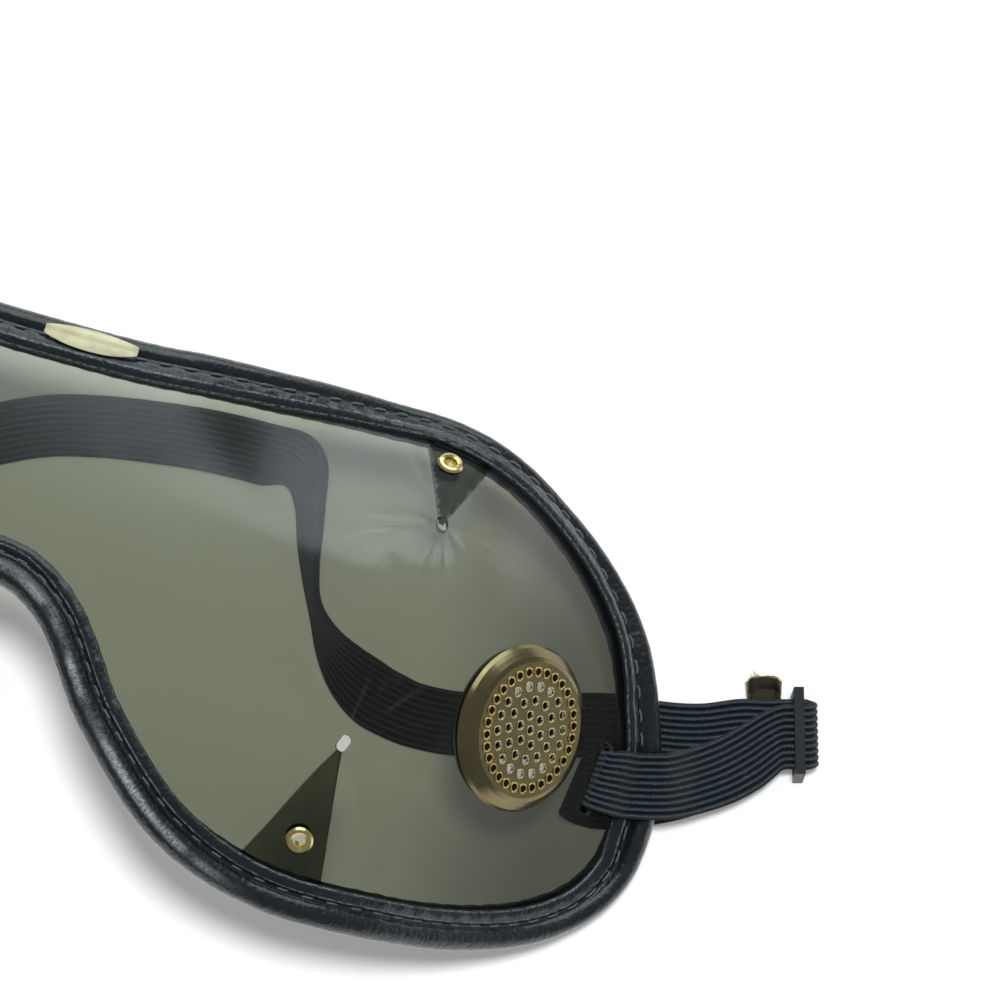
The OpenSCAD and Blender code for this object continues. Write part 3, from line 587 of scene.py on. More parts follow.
mask_roll = mask((n_front, n_round))
mask_bead = mask((3, n_front - 4), (n_round + 5, n_round + n_back - 3))
mask_out = mask((1, n_round + n_back - 1))
ang = np.linspace(0, 1, points)
loop = 2 * math.pi * u_rim / rim_length
ring3 = np.stack([np.cos(loop) * rim_length / 6.283, np.sin(loop) * rim_length / 6.283, np.zeros_like(loop)], -1)
lump = fbm(ring3, 9.0, 3.1, 3)[:, None]
lump2 = fbm(ring3, 9.0, 11.7, 3)[:, None]
cross = np.stack([ring3 + (0, 0, k * 0.9) for k in ang * 12], 1)
wrinkle = fbm(cross, 1.5, 5.3, 3)
fold = np.clip(fbm(ring3, 3.2, 21.9, 2), 0, 1)[:, None]
stitch_phase = np.cos(2 * math.pi * PITCH_COUNT * u_rim / rim_length)[:, None]
swell = (mask_roll * (0.06 * lump + 0.04 * wrinkle - 0.07 * fold * np.abs(np.sin(ang * 9)))
         + mask_bead * (0.07 * lump2 + 0.05 * wrinkle + 0.04 * stitch_phase)
         + (mask_out - mask_roll - mask_bead).clip(0, 1) * 0.03 * wrinkle)
swell = np.minimum(swell, 0.14) - 0.03 * mask_out
oo = section[..., 0] + swell * out_sec[..., 0]
nn = section[..., 1] + swell * out_sec[..., 1]
rings = P[:, None, :] + oo[..., None] * W[:, None, :] + nn[..., None] * N[:, None, :]
verts, faces = sweep(rings)
sec_run = np.concatenate([[0], np.cumsum(np.linalg.norm(np.diff(section[0], axis=0), axis=1))])
uv = np.stack([np.repeat(u_rim, points), np.tile(sec_run, STATIONS)], -1)
binding = outward(new_mesh("leather_binding", verts, faces, LEATHER, uv=uv))
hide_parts("edge_binding")
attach(binding, BODY)

fs = np.linspace(0, RINGS, 520, endpoint=False)
fp, _, fn, fw = rim_frame(fs)
co, cn, fa, fb = station_shape(fs).T[2:]
fa, fb = fa - SKIN_T - 0.15, fb - SKIN_T - 0.15
low, high = np.arcsin(np.clip((-SLOT_HALF - cn) / fb, -1, 1)), np.arcsin(np.clip((SLOT_HALF - cn) / fb, -1, 1))
foam_sec = arcs(co, cn, fa, fb, math.pi - high, -math.pi - low, 22)
foam_rings = fp[:, None] + foam_sec[..., :1] * fw[:, None] + foam_sec[..., 1:] * fn[:, None]
foam = outward(new_mesh("foam_roll", *sweep(foam_rings), FOAM))
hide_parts("foam_core")
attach(foam, BODY)

# Stitches: each thread comes up out of one hole and goes down the next.
threads = []
step = rim_length / PITCH_COUNT
for k in range(PITCH_COUNT):
    jit = 0.06 * noise.noise(Vector((k * 0.7, 3.3, 0)))
    count, around = 9, 8
    mid = k * step
    run = mid + np.linspace(-1.15, 1.15, count)
    s = np.interp(np.mod(run, rim_length), np.append(u_rim, rim_length), np.append(s_rim, RINGS))
    p, t, n, w = rim_frame(s)
    f = np.linspace(-1, 1, count)
    shape = station_shape(s)
    deep = float(np.clip((abs((s[4] + RINGS / 2) % RINGS - RINGS / 2) - 38) / 6, 0, 1))
    lift = shape[:, 1] + 0.22 - 0.26 * deep - 0.5 * f ** 4
    line = p + (shape[:, 0] + 0.06 + jit + 0.05 * f)[:, None] * w + lift[:, None] * n
    r = 0.17 * (1 - 0.35 * f ** 6)
    a = ring_of(around)
    round_it = np.cos(a)[None, :, None] * w[:, None] + np.sin(a)[None, :, None] * n[:, None]
    threads.append(sweep(line[:, None] + r[:, None, None] * round_it, closed=False, cap=True))
stitches = outward(new_mesh("hem_stitches", *joined(threads), THREAD))
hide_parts("binding_stitches")
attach(stitches, BODY)

# Blank foil label, a barrel shape laid over the groove and the roll.
cols, rows = 64, 28
f = np.linspace(-1, 1, cols)
xs = 3.4 + 7 * f
deg = np.radians(np.linspace(118, 62, 5))
over_roll = np.stack([ROLL_O + 2.0 * np.cos(deg), ROLL_N + 2.8 * np.sin(deg)], -1)
path = np.concatenate([[(-2.45, 1.95), (-1.7, 2.2)], over_roll])
path = path - (0.1, 0.75) * np.linspace(0.12, 1, len(path))[:, None]
fine = curve_through(path, 12)
frac = np.linspace(0, 1, rows)
low, high = 0.07 + 1.29 * f * f, 5.5 - 1.9 * f * f
where = (low[:, None] + (high - low)[:, None] * frac[None, :]) * 12
flat_o = np.interp(where, np.arange(len(fine)), fine[:, 0])
flat_n = np.interp(where, np.arange(len(fine)), fine[:, 1])
ripple_at = np.stack([np.repeat(xs, rows), np.tile(frac * 5, cols), np.zeros(cols * rows)], -1)
ripple = 0.05 * fbm(ripple_at, 2.2, 4.4, 3).reshape(cols, rows)
sheets = []
for lift in (0.27, 0.12):
    sheets.append(at_rim(np.repeat(xs / 14 * 4, rows).reshape(cols, rows), flat_o, flat_n + lift + ripple))
verts = np.concatenate([q.reshape(-1, 3) for q in sheets])
label = outward(new_mesh("blank_label", verts, thin_sheet(cols, rows), FOIL))
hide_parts("foil_label")
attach(label, BODY)


# ---------------------------------------------------------------- lens
def pucker(x, y):
    """Small radial ridges that fan out of each dart's tip, and the slight cone round it."""
    total = np.zeros_like(x)
    for tip, eye, _, _ in DARTS:
        for side in (1, -1):
            dx, dy = (x - side * tip[0]) * side, y - tip[1]
            r = np.hypot(dx, dy)
            a = np.arctan2(dy, dx)
            away = math.atan2(tip[1] - eye[1], tip[0] - eye[0])
            off = np.abs(np.mod(a - away + math.pi, 2 * math.pi) - math.pi)
            reach = np.exp(-((r - 5) / 9) ** 2) * smooth(r / 3)
            waves = 0.035 * np.cos(9 * a + tip[0]) + 0.025 * np.cos(15 * a + 1.3)
            total += reach * waves * smooth((2.6 - off) / 1.4)
            total -= 0.22 * np.exp(-(r / 6) ** 2)
    edge_fade = smooth((37 - np.abs(y)) / 6) * smooth((92 - np.abs(x)) / 5)
    vent = smooth((np.hypot(np.abs(x) - VENT[0] + 0.0, y - VENT[1]) - 13) / 5)
    return total * edge_fade * vent


def crease(x, y):
    """The soft fold that runs from the upper dart's tip towards the nose."""
    total = np.zeros_like(x)
    for side in (1, -1):
        dx, dy = x * side - 59, y - 20.7
        a, b = -0.82 * dx - 0.57 * dy, -0.57 * dx + 0.82 * dy
        width = 1.6 + 0.4 * np.maximum(a, 0)
        along = np.exp(-np.maximum(a, 0) / 20) * smooth(a / 6)
        total -= 0.10 * along * (np.hypot(b, width) - width) * np.exp(-np.abs(b) / 9)
    return total * smooth((34 - np.abs(y)) / 6)


def wavy(x, y):
    """Slow unevenness of the soft sheet."""
    q = 0.10 * np.sin(x / 11.0 + 0.7) * np.sin(y / 8.0 + 1.1) + 0.04 * np.sin(x / 6.3 - y / 7.1)
    fade = smooth((34 - np.abs(y)) / 8) * smooth((58 - np.abs(x)) / 8)
    return q * fade


def bow(x, y):
    """The sheet bows out a little between the brow and the nose."""
    low = -8 - 16 * smooth((np.abs(x) - 6) / 18)
    u = np.clip((31 - y) / (31 - low), 0, 1)
    return 3.4 * u * (1 - u) * smooth((48 - np.abs(x)) / 26)


def lens_height(x, y):
    return height(x, y) + pucker(x, y) + crease(x, y) + wavy(x, y) + bow(x, y)


INSET = -(HEM_W + 0.35)
SUB, ROWS_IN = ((6, 84))
C = 32 * SUB
c_val = np.arange(-C, C + 1) / SUB


def lens_grid(n_off):
    top, bottom = c_val, 64 - c_val
    zero = np.zeros_like(c_val)
    a, b = at_rim(top, zero + INSET, zero), at_rim(bottom, zero + INSET, zero)
    grid = []
    for e in (EDGE - GAP, (EDGE + INSET) / 2):
        grid.append(at_rim(top, zero + e, zero + n_off))
    for k in range(ROWS_IN + 1):
        t = k / ROWS_IN
        p = a + (b - a) * t
        x, y = p[:, 0], p[:, 1]
        w = min(1, 4 * t, 4 * (1 - t))
        nrm = normal(x, y, lens_height)
        q = np.stack([x, y, height(x, y) + w * (lens_height(x, y) - height(x, y))], -1)
        grid.append(q + n_off * (w * nrm + (1 - w) * normal(x, y)))
    for e in ((EDGE + INSET) / 2, EDGE - GAP):
        grid.append(at_rim(bottom, zero + e, zero + n_off))
    return np.stack(grid, 1)


def lens_body():
    g = [lens_grid(LENS_T / 2), lens_grid(-LENS_T / 2)]
    k, m = g[0].shape[:2]
    verts = np.concatenate([q.reshape(-1, 3) for q in g])
    size = k * m

    def vid(side, i, j):
        if i in (0, k - 1):
            if j in (0, m - 1):
                j = 0
            elif j in (1, m - 2):
                j = 1
            else:
                j = 2
        return side * size + i * m + j
    faces = []
    for i in range(k - 1):
        for j in range(m - 1):
            for side in (0, 1):
                q = [vid(side, i, j), vid(side, i + 1, j), vid(side, i + 1, j + 1), vid(side, i, j + 1)]
                q = list(dict.fromkeys(q))
                if len(q) > 2:
                    faces.append(q if side == 0 else q[::-1])
        for j in (0, m - 1):
            q = [vid(0, i, j), vid(1, i, j), vid(1, i + 1, j), vid(0, i + 1, j)]
            q = list(dict.fromkeys(q))
            if len(q) > 2:
                faces.append(q if j == 0 else q[::-1])
    used = sorted({i for f in faces for i in f})
    remap = {v: i for i, v in enumerate(used)}
    return verts[used], [[remap[i] for i in f] for f in faces]


def wedge_ends(wedge):
    """Where a dart's two edges meet the rim, just under the binding."""
    return at_rim(np.array(wedge, float), np.full(2, INSET + 1.3), np.zeros(2))[:, :2]


def flap(tip, wedge, side):
    """The sheet's second layer behind a dart."""
    rows_f, cols_f = 26, 12
    ends = wedge_ends(wedge)
    top, low = -LENS_T / 2 - 0.03, -1.5 * LENS_T
    sheets = []
    for n in (top, low):
        t = np.linspace(0, 1, cols_f)
        base = ends[0] + (ends[1] - ends[0]) * t[:, None]
        narrow = np.array(tip) + (base - tip) * 0.06
        i = np.linspace(0, 1, rows_f)[:, None, None]
        p = narrow + (base - narrow) * i
        x, y = p[..., 0], p[..., 1]
        q = np.stack([x, y, lens_height(x, y)], -1) + n * normal(x, y, lens_height)
        sheets.append(q)
    return np.concatenate([q.reshape(-1, 3) for q in sheets]) * (side, 1, 1), thin_sheet(rows_f, cols_f)


def cutter(x, y, section_pts, depth, turn=0.0, side=1):
    """A prism of the given outline, along the lens's normal at x, y."""
    p = on_lens(np.array([x]), np.array([y]))[0]
    n = normal(np.array([x]), np.array([y]))[0]
    v = unit(np.array([0, 1, 0]) - n[1] * n)
    u = np.cross(v, n)
    c, s = math.cos(math.radians(turn)), math.sin(math.radians(turn))
    q = np.array([(a * c - b * s, a * s + b * c) for a, b in section_pts])
    rings = np.stack([p + q[:, :1] * u + q[:, 1:] * v + h * n for h in (-depth, depth)])
    return rings * (side, 1, 1)


def round_outline(r, count=40, stretch=0.0):
    a = ring_of(count)
    return np.stack([r * np.cos(a), r * np.sin(a) + np.sign(np.sin(a)) * stretch], -1)


verts, faces = lens_body()
lens = outward(new_mesh("lens_sheet", verts, faces, LENS))
# The sheet over a dart's second layer is pressed flat and glosses less.
lens.data.materials.append(PRESSED)
centres = np.array([f.center[:2] for f in lens.data.polygons]) * (1 / MM)
centres[:, 0] = np.abs(centres[:, 0])
for tip, _, wedge, _ in DARTS:
    corners = [np.array(tip), *wedge_ends(wedge)]
    turns = np.array([(b[0] - a[0]) * (centres[:, 1] - a[1]) - (b[1] - a[1]) * (centres[:, 0] - a[0])
                      for a, b in zip(corners, corners[1:] + corners[:1])])
    for i in np.nonzero(np.all(turns > 0, 0) | np.all(turns < 0, 0))[0]:
        lens.data.polygons[int(i)].material_index = 1
holes = []
for side in (1, -1):
    cuts = [cutter(*VENT, round_outline(10.3, 96), 3, 0, side),
            cutter(*SLOT, [(-1.15, -5.5), (1.15, -5.5), (1.15, 5.5), (-1.15, 5.5)], 3, 0, side)]
    for tip, eye, _, turn in DARTS:
        cuts.append(cutter(*eye, round_outline(1.3, 32), 3, 0, side))
        cuts.append(cutter(*tip, round_outline(0.8, 32, 0.5), 3, turn, side))
    for cut in cuts:
        holes.append(outward(new_mesh("cut", *sweep(cut, closed=False, cap=True), LENS, smooth_faces=False)))
tool = join("cut", holes)
flaps = []
for tip, _, wedge, _ in DARTS:
    for side in (1, -1):
        flaps.append(outward(new_mesh("flap", *flap(tip, wedge, side), LAP)))
flap_part = join("dart_laps", flaps)
for target in (lens, flap_part):
    mod = target.modifiers.new("holes", "BOOLEAN")
    mod.operation, mod.solver, mod.object = "DIFFERENCE", "EXACT", tool
    bpy.context.view_layer.objects.active = target
    bpy.ops.object.modifier_apply(modifier="holes")
bpy.data.objects.remove(tool)


def true_normals(o):
    """Shades the sheet by its formula, so that the cuts leave no marks in the gloss."""
    me = o.data
    me.shade_smooth()
    co = read(me.vertices, "co", 3) / MM
    face_of = np.repeat(np.arange(len(me.polygons)), read(me.polygons, "loop_total"))
    nv = normal(co[:, 0], co[:, 1], lens_height)[read(me.loops, "vertex_index")]
    fl = read(me.polygons, "normal", 3)[face_of]
    dot = (nv * fl).sum(1, keepdims=True)
    out = np.where(np.abs(dot) > 0.9, nv * np.sign(dot), fl)
    me.normals_split_custom_set([tuple(v) for v in out])


def mark_cuts(o):
    """The cut edges of the sheet look dark."""
    me = o.data
    me.materials.append(CUT)
    for poly in me.polygons:
        c = np.array(poly.center) / MM
        if abs(np.dot(normal(c[0], c[1], lens_height), poly.normal)) < 0.6:
            poly.material_index = len(me.materials) - 1


for o in (lens, flap_part):
    true_normals(o)
    mark_cuts(o)
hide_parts("lens")
for o in (lens, flap_part):
    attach(o, BODY)


# ---------------------------------------------------------------- strap
def vec(a):
    return np.array(a, float)


table_z = STRAP_T / 2
stack_z = 1.5 * STRAP_T + GAP
over_ferrule_z = FERRULE_H + GAP + STRAP_T / 2
run_dir, slider_at, side_shift = math.radians(16), vec((116.9, 12.6)), 0.7
ferrule_at = vec((110.85, 15.95))
lower_z = over_ferrule_z - 0.05
middle_bar_z = lower_z + STRAP_T / 2 + 0.15
upper_z = middle_bar_z + SLIDER_BAR + 0.15 + STRAP_T / 2
ALONG = vec((math.cos(run_dir), math.sin(run_dir)))
CROSS = vec((-math.sin(run_dir), math.cos(run_dir)))
ALONG_3, CROSS_3, UP_3 = np.append(ALONG, 0), np.append(CROSS, 0), vec((0, 0, 1))


def near(s, v, *rest):
    return [*(slider_at + s * ALONG + v * CROSS), *rest]


def fer(v, *rest):
    return [*(ferrule_at + v * CROSS), *rest]


SP = on_lens(np.array([SLOT[0]]), np.array([SLOT[1]]))[0]
SN = normal(np.array([SLOT[0]]), np.array([SLOT[1]]))[0]
slot_dir = math.degrees(math.atan2(SN[1], SN[0])) + 90
bead = at_rim(32.0, -HEM_W + 1.2, LENS_T / 2 + BEAD_H + GAP + STRAP_T / 2 + 0.5)
roll = at_rim(32.0, 0.8, ROLL_N + ROLL_H / 2 + GAP + STRAP_T / 2 + 0.9)
front_route = [
    [*SP, slot_dir, 6, 0.2], [*(SP + 0.6 * SN), slot_dir, 6, 0.17], [*(SP + 1.3 * SN), slot_dir, 6, 0.1],
    [SP[0] + 3.3, -3.7, SP[2] - 0.1, 85, 7],
    [bead[0], -3.1, bead[2] + 0.2, 92, 10],
    [roll[0] + 0.4, -1.9, roll[2] + 0.4, 100, 11],
    [103.5, 0.6, upper_z + 1.9, 115, 4], [107.4, 3.5, upper_z + 0.9, 124, 1],
    [110.6, 6.7, upper_z + 0.25, 124, 0], [113, 9.6, upper_z, 116, 0],
    near(-2.4, -side_shift, upper_z, 106, 0), near(0, -side_shift, upper_z, 106, 0),
    near(1.2, -side_shift, upper_z, 106, 0), near(2.05, -0.4, upper_z - 0.4, 106, 0),
    near(2.45, 0, (upper_z + lower_z) / 2, 106, 0), near(2.05, 0.4, lower_z + 0.4, 106, 0),
    near(1.5, side_shift, lower_z, 106, 0), near(1.1, side_shift, lower_z, 106, 0),
    near(0.7, side_shift, lower_z, 106, 0)]
tail_route = [
    [*SP, slot_dir, 6, 0.2], [*(SP - 0.6 * SN), slot_dir, 6, 0.17], [*(SP - 1.3 * SN), slot_dir, 6, 0.1],
    [SP[0] - 2.3, -4.3, SP[2] - 3.4, 83, 4, 0], [SP[0] - 3, -4.4, SP[2] - 6.2, 83, 1, 0],
    [SP[0] - 2.6, -4.4, SP[2] - 9, 84, 0, 0], [SP[0] - 0.6, -4.4, table_z + 0.6, 87, 0, 0],
    [SP[0] + 2.6, -3.9, table_z + 0.08, 96, 0, 0], [97, -1.8, table_z + 0.06, 110, 0, 0],
    [102.6, 1.4, table_z + 0.06, 124, 0, 0], [107.4, 5.8, FERRULE_H / 2 - 0.4, 140, 0, 0.1],
    [110.6, 9.4, FERRULE_H / 2 - 0.15, 156, 0, 0.6], fer(-FERRULE_L / 2 - 0.8, FERRULE_H / 2, 186, 0, 0.97),
    fer(-FERRULE_L / 2 + 0.6, FERRULE_H / 2, 196, 0, 1), fer(0, FERRULE_H / 2, 196, 0, 1),
    fer(FERRULE_L / 2 - 0.4, FERRULE_H / 2, 196, 0, 1)]
run_route = [
    near(0.7, side_shift, lower_z, 106, 0), near(0, side_shift, lower_z, 106, 0),
    near(-2.2, side_shift, lower_z, 106, 0), near(-4.5, side_shift - 0.1, over_ferrule_z + 0.05, 106, 0),
    [108.4, 10.9, over_ferrule_z + 0.1, 108, 0], [102.7, 8.7, stack_z + 0.5, 103, 0],
    [97, 7.5, stack_z + 0.05, 100, 0], [91, 6.9, stack_z, 97, 0], [86, 5.8, stack_z - 0.2, 103, 0],
    [80, 4, table_z + 0.1, 105, 0], [73, 2.1, table_z, 104, 0], [66, 0.6, table_z, 100, 0],
    [62, 0.2, table_z, 93, 0]]
turn_route = [
    [62, 0.2, table_z, 93, 0], [60.4, 0.17, table_z, 90, 0], [58.8, 0.22, table_z + 0.07, 87, 0.3],
    [56.6, 0.5, table_z + 0.5, 82, 4], [53, 1.2, 2.1, 74, 18], [48.5, 3.2, 4.1, 62, 45],
    [44.6, 6.3, 5.05, 50, 68], [41.4, 10.6, 5.35, 32, 82], [39, 16, 5.3, 14, 77], [37.2, 21.5, 5.05, 12, 68],
    [35.6, 27, 4.95, 14, 62], [33.8, 31, 4.4, 30, 48], [30.6, 33.1, 2.5, 62, 22],
    [27.4, 33.4, table_z + 0.6, 82, 4], [25.8, 33.5, table_z + 0.08, 88, 0.3], [24.6, 33.5, table_z, 90, 0],
    [23, 33.5, table_z, 92, 0]]
middle = [(23, 33.5), (16, 33.1), (8, 32.1), (0, 30.7), (-8, 28.5), (-16, 24.6), (-26, 18.8), (-38, 12), (-50, 5.6),
          (-57, 1.5), (-62, 0.2)]
heads = [92, 93, 96, 100, 108, 116, 120, 120, 119, 107, 87]
middle_route = [[x, y, table_z, h, 0] for (x, y), h in zip(middle, heads)]


def samples(route, sub):
    r = np.array([row + [0] * (6 - len(row)) for row in route], float)
    return curve_through(r, sub)


def flipped(points, side):
    """The mirrored route: x changes sign and so does the heading of the width."""
    q = points.copy()
    if side < 0:
        q[:, 0] *= -1
        q[:, 3] = 180 - q[:, 3]
    return q


def ribbon(points):
    """Ribbed elastic along the points: ten ribs on each face, rounded edges."""
    p = points[:, :3]
    keep = np.concatenate([[True], np.linalg.norm(np.diff(p, axis=0), axis=1) > 1e-6])
    points, p = points[keep], p[keep]
    t = unit(np.gradient(p, axis=0))
    h, l, g = np.radians(points[:, 3]), np.radians(points[:, 4]), points[:, 5]
    w = np.stack([np.cos(h) * np.cos(l), np.sin(h) * np.cos(l), np.sin(l)], -1)
    n = unit(np.cross(t, w))
    ribs, per = 10, 6
    u = np.linspace(-1, 1, ribs * per + 1)
    rib = np.abs(np.sin(math.pi * ribs * (u + 1) / 2)) ** 0.55
    thick = 0.545 * (0.62 + 0.38 * rib)
    thick[0] = thick[-1] = 0.16
    thick[1] *= 0.85
    thick[-2] *= 0.85
    across = np.concatenate([u, u[::-1]])
    up = np.concatenate([thick, -thick[::-1]])
    run = np.concatenate([[0], np.cumsum(np.linalg.norm(np.diff(p, axis=0), axis=1))])
    half_w = (STRAP_W * (1 - g) + 3.7 * g) / 2
    bunch = g[:, None] * 0.10 * np.cos(across[None, :] * math.pi * 3.5)
    rings = p[:, None] + (half_w[:, None] * across[None, :])[..., None] * w[:, None] + (
        up[None, :] * (1 + 0.06 * g[:, None]) + bunch)[..., None] * n[:, None]
    uv = np.stack([np.repeat(run, len(across)), np.tile(across * 5, len(run))], -1)
    v, f = sweep(rings, closed=False, cap=True)
    return v, f, uv


SUBS = 16
strap = []
for side, name in ((1, "left"), (-1, "right")):
    tail = flipped(samples(tail_route, SUBS), side)[::-1]
    front = flipped(samples(front_route, SUBS), side)
    run = flipped(samples(run_route, SUBS), side)
    if side > 0:
        # The middle ends where the run of the other side ends.
        path = np.concatenate([tail, front, run, samples(turn_route, SUBS), samples(middle_route, SUBS)])
    else:
        path = np.concatenate([tail, front, run])
    # The width's direction may turn half round between stretches without changing the strap.
    w = np.stack([np.cos(np.radians(path[:, 3])) * np.cos(np.radians(path[:, 4])),
                  np.sin(np.radians(path[:, 3])) * np.cos(np.radians(path[:, 4])),
                  np.sin(np.radians(path[:, 4]))], -1)
    for i in range(1, len(w)):
        if np.dot(w[i], w[i - 1]) < 0:
            w[i] = -w[i]
            path[i, 3] += 180
            path[i, 4] *= -1
    v, f, uv = ribbon(path)
    o = outward(new_mesh("elastic_" + name, v, f, ELASTIC, uv=uv))
    strap.append(o)
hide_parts("strap_tail_left", "strap_front_left", "strap_run_left", "strap_turn", "strap_middle")
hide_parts("strap_tail_right", "strap_front_right", "strap_run_right")
for o in strap:
    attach(o, BODY)


# ---------------------------------------------------------------- ferrules and frayed ends
OVAL_POINTS = 56


def oval(w, h, flat):
    """A squeezed tube's section: straight top and bottom with round sides, or an ellipse where flat is 0."""
    a = ring_of(OVAL_POINTS)
    c = np.cos(a)
    x = flat * (c * h / 2 + np.sign(c) * (w - h) / 2 * np.minimum(1, np.abs(c) * 3)) + (1 - flat) * c * w / 2
    return np.stack([x, np.sin(a) * h / 2], -1)


for side, name in ((1, "left"), (-1, "right")):
    L = FERRULE_L / 2
    profile = [(-L, 0.20), (-L + 0.05, 0.06), (-L + 0.25, 0), (-L + 0.9, 0), (-L + 1.3, 0.07), (-2, 0.09),
               (-1.5, 0.16), (-1.1, 0.09), (1.1, 0.09), (1.5, 0.16), (2, 0.09), (L - 1.3, 0.07), (L - 0.75, 0.02),
               (L - 0.4, 0), (L - 0.12, -0.06), (L, 0.04), (L - 0.03, 0.2), (L - 0.4, 0.30), (0, 0.36),
               (-L + 0.4, 0.30), (-L + 0.02, 0.28)]
    rings = []
    for v, inset in profile:
        open_up = float(smooth((v - 1.0) / 2.6))
        high = FERRULE_H + 1.7 * open_up
        q = oval(FERRULE_W - 2 * inset, high - 2 * inset, 1 - open_up)
        c = np.append(ferrule_at + v * CROSS, high / 2 + 0.06)
        bulge = 0.45 * open_up * (1 - (q[:, :1] / (FERRULE_W / 2)) ** 2)
        rings.append(c + q[:, :1] * ALONG_3 + bulge * CROSS_3 + q[:, 1:] * UP_3)
    rings = np.array(rings) * (side, 1, 1)
    tube = outward(new_mesh("ferrule_" + name, *sweep(rings), DULL_BRASS))
    # A band of faces round the open end takes the bright brass, a painted highlight along the rim.
    tube.data.materials.append(HIGHLIGHT_BRASS)
    for i, face in enumerate(tube.data.polygons):
        if 13 <= i // OVAL_POINTS <= 15:
            face.material_index = 1
    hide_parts("end_ferrule_" + name)
    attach(tube, BODY)
    yarns = []
    base = np.append(ferrule_at, FERRULE_H / 2 + 0.5)
    for k in range(9):
        x0 = -1.75 + 0.42 * k + 0.1 * math.sin(k * 5.1)
        long = 1.1 + 0.9 * abs(math.sin(k * 2.3 + 0.4)) if k < 5 else 0.5
        q = np.linspace(0, 1, 7)
        off = np.stack([x0 + 0.5 * math.sin(k * 1.9) * q ** 2 - 0.25 * q, FERRULE_L / 2 - 0.6 + long * q,
                        0.15 * math.cos(k * 2.7) + 0.5 * q * math.sin(k * 3.3 + 1)], -1)
        line = base + off[:, :1] * ALONG_3 + off[:, 1:2] * CROSS_3 + off[:, 2:] * UP_3
        a = ring_of(6)
        r = 0.11 * (1 - 0.5 * q)
        round_it = np.cos(a)[None, :, None] * ALONG_3 + np.sin(a)[None, :, None] * UP_3
        ring = line[:, None] + r[:, None, None] * round_it
        yarns.append(sweep(ring * (side, 1, 1), closed=False, cap=True))
    yarn = outward(new_mesh("frayed_end_" + name, *joined(yarns), FRAY))
    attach(yarn, BODY)


# ---------------------------------------------------------------- CAD nodes that stay
def finish_node(node, material, bevel=0.0):
    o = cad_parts[node]
    o.data.materials.clear()
    o.data.materials.append(material)
    if bevel:
        mod = o.modifiers.new("edges", "BEVEL")
        mod.width, mod.segments, mod.limit_method, mod.angle_limit = bevel * MM, 3, "ANGLE", math.radians(40)
        mod.harden_normals = True


for name in ("left", "right"):
    finish_node("vent_cap_" + name, BRASS)
    finish_node("vent_ring_" + name, DULL_BRASS)
    finish_node("upper_eyelet_" + name, GOLD)
    finish_node("lower_eyelet_" + name, GOLD)
    finish_node("strap_slider_" + name, PLASTIC, 0.22)


def lips(holes, side, lift, material, name):
    """Pressed lips round the vents' holes and dimples."""
    p = on_lens(np.array([VENT[0]]), np.array([VENT[1]]))[0]
    n = normal(np.array([VENT[0]]), np.array([VENT[1]]))[0]
    v = unit(np.array([0, 1, 0]) - n[1] * n)
    u = np.cross(v, n)
    rings = []
    a, c = ring_of(22), ring_of(7)
    for x, y, r, tube in holes:
        rad = r + tube * np.cos(c)[None, :]
        q = np.stack([x + rad * np.cos(a)[:, None], y + rad * np.sin(a)[:, None],
                      np.broadcast_to(lift + tube * np.sin(c)[None, :], (22, 7))], -1)
        ring = p + q[..., :1] * u + q[..., 1:2] * v + q[..., 2:] * n
        rings.append(sweep(ring * (side, 1, 1)))
    o = outward(new_mesh(name, *joined(rings), material))
    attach(o, BODY)
    return o


def ring_holes(count, radius, turn, r, tube):
    a = np.radians(turn + np.arange(count) * 360 / count)
    return [(radius * math.cos(t), radius * math.sin(t), r, tube) for t in a]


inner_holes = []
for count, share, turn in ((1, 0, 0), (6, 0.232, 0), (12, 0.458, 15), (18, 0.679, 0)):
    inner_holes += ring_holes(count, share * FIELD_R, turn, 0.67, 0.085)
edge_holes = ring_holes(30, 0.9 * FIELD_R, 0, 0.66, 0.16)
for side, name in ((1, "left"), (-1, "right")):
    # The inner holes' lips take the bright brass as a painted highlight.
    lips(inner_holes, side, VENT_H + 0.02, HIGHLIGHT_BRASS, "vent_lips_" + name)
    lips(edge_holes, side, VENT_H + 0.03, AMBER, "vent_beads_" + name)


# ---------------------------------------------------------------- stage, light, camera
SKY = (0.86, 0.97, 1.0)


def area(name, place, target, size, power, size_y=None, diffuse=True, glossy=True, color=(1, 1, 1)):
    d = bpy.data.lights.new(name, "AREA")
    d.color = color
    d.shape, d.size, d.energy = ("RECTANGLE" if size_y else "DISK"), size, power
    if size_y:
        d.size_y = size_y
    o = bpy.data.objects.new(name, d)
    bpy.context.scene.collection.objects.link(o)
    o.location = place
    o.rotation_euler = (Vector(target) - Vector(place)).to_track_quat("-Z", "Y").to_euler()
    o.visible_camera, o.visible_diffuse, o.visible_glossy = False, diffuse, glossy
    return o


area("key_soft", (0.14, -0.03, 1.07), (0.04, 0.0, 0.0), 0.16, 9.6, glossy=False)
area("gloss_card", (-0.13, 0.59, 0.96), (0.03, 0.0, 0.03), 0.54, 1.6, diffuse=False, color=SKY)
area("back_window", (-0.1, 1.5, 0.86), (0.05, 0, 0.03), 1.9, 15.0, size_y=1.15, diffuse=False, color=SKY)

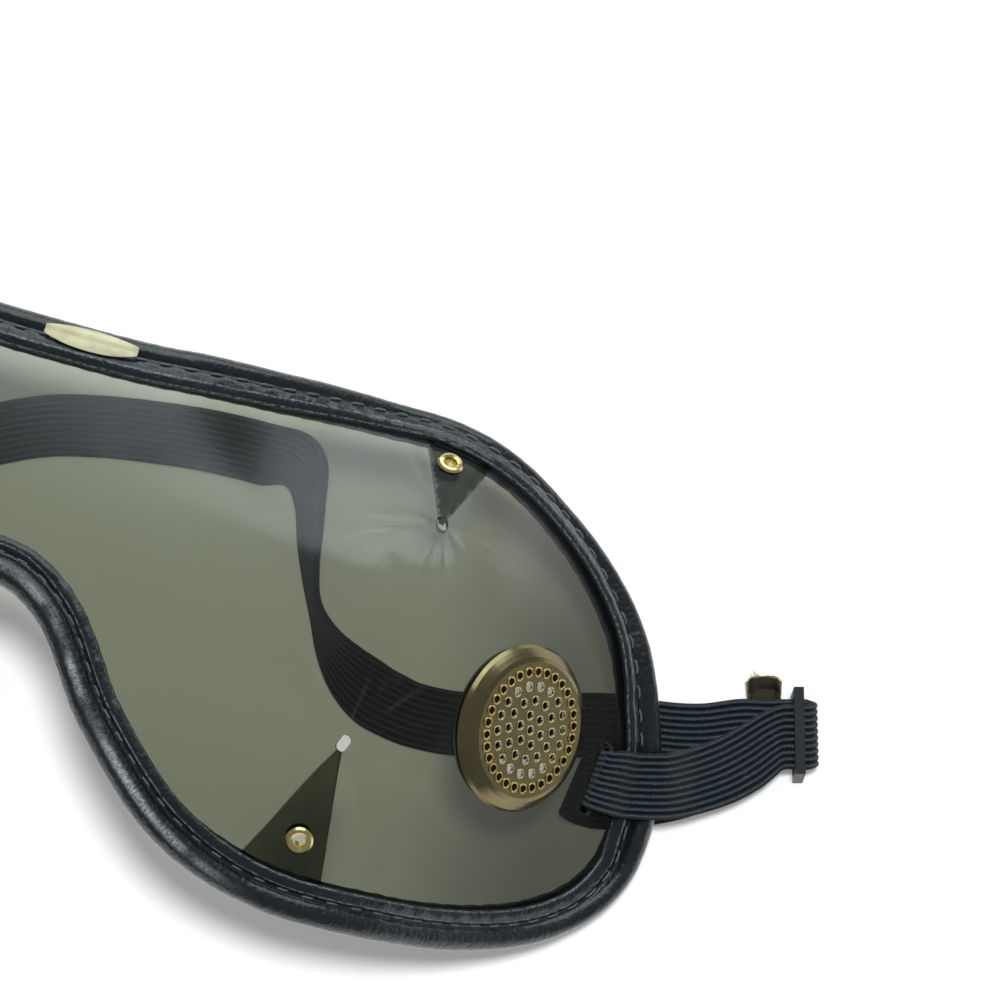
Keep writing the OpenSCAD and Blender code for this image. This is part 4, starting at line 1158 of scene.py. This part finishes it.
# The floor looks white through a little light of its own, which only rays that see it get.
k = Mat("pale_table", (0.82, 0.82, 0.82))
diff = k.node("ShaderNodeBsdfDiffuse", Color=(0.82, 0.82, 0.82, 1))
glow = k.node("ShaderNodeEmission", Color=(1, 1, 1, 1))
path = k.node("ShaderNodeLightPath")
seen = k.math("MAXIMUM", path.outputs["Is Camera Ray"], path.outputs["Is Glossy Ray"])
seen = k.math("MAXIMUM", seen, path.outputs["Is Transmission Ray"])
k.link(k.times(seen, 0.2), glow.inputs["Strength"])
both = k.node("ShaderNodeAddShader")
k.link(diff.outputs[0], both.inputs[0])
k.link(glow.outputs[0], both.inputs[1])
k.link(both.outputs[0], k.t.nodes["Material Output"].inputs["Surface"])
k.t.nodes.remove(k.b)
FLOOR_HALF = 3000
corners = [(-FLOOR_HALF, -FLOOR_HALF, 0), (FLOOR_HALF, -FLOOR_HALF, 0), (FLOOR_HALF, FLOOR_HALF, 0),
           (-FLOOR_HALF, FLOOR_HALF, 0)]
floor = new_mesh("table_top", corners, [(0, 1, 2, 3)], k.m, smooth_faces=False)
floor.location.z = -0.00005

world = bpy.data.worlds.new("studio")
bpy.context.scene.world = world
world.use_nodes = True
back = world.node_tree.nodes["Background"]
back.inputs["Color"].default_value = (0.94, 0.97, 1, 1)
back.inputs["Strength"].default_value = 0.24

view = bpy.context.scene.view_settings
view.view_transform = "Standard"

# The camera that the photo was taken with, as fitted: 580 mm away, 15.5 degrees from straight down.
FOCAL, DISTANCE, AIM = 3.7442, 0.58, (0.0631, 0.0366, 0)
rot, tilt = math.radians(16), math.radians(74.5)
right = Vector((math.cos(rot), math.sin(rot), 0))
ahead = Vector((-math.sin(rot), math.cos(rot), 0))
toward = -ahead * math.cos(tilt) + Vector((0, 0, 1)) * math.sin(tilt)
up = ahead * math.sin(tilt) + Vector((0, 0, 1)) * math.cos(tilt)
cam_data = bpy.data.cameras.new("camera")
cam_data.sensor_width = 36
cam_data.lens = FOCAL * cam_data.sensor_width
cam_data.clip_start, cam_data.clip_end = 0.01, 20
cam = bpy.data.objects.new("camera", cam_data)
bpy.context.scene.collection.objects.link(cam)
place = Vector(AIM) + toward * DISTANCE
cam.matrix_world = Matrix(((right.x, up.x, toward.x, place.x), (right.y, up.y, toward.y, place.y),
                           (right.z, up.z, toward.z, place.z), (0, 0, 0, 1)))
bpy.context.scene.camera = cam
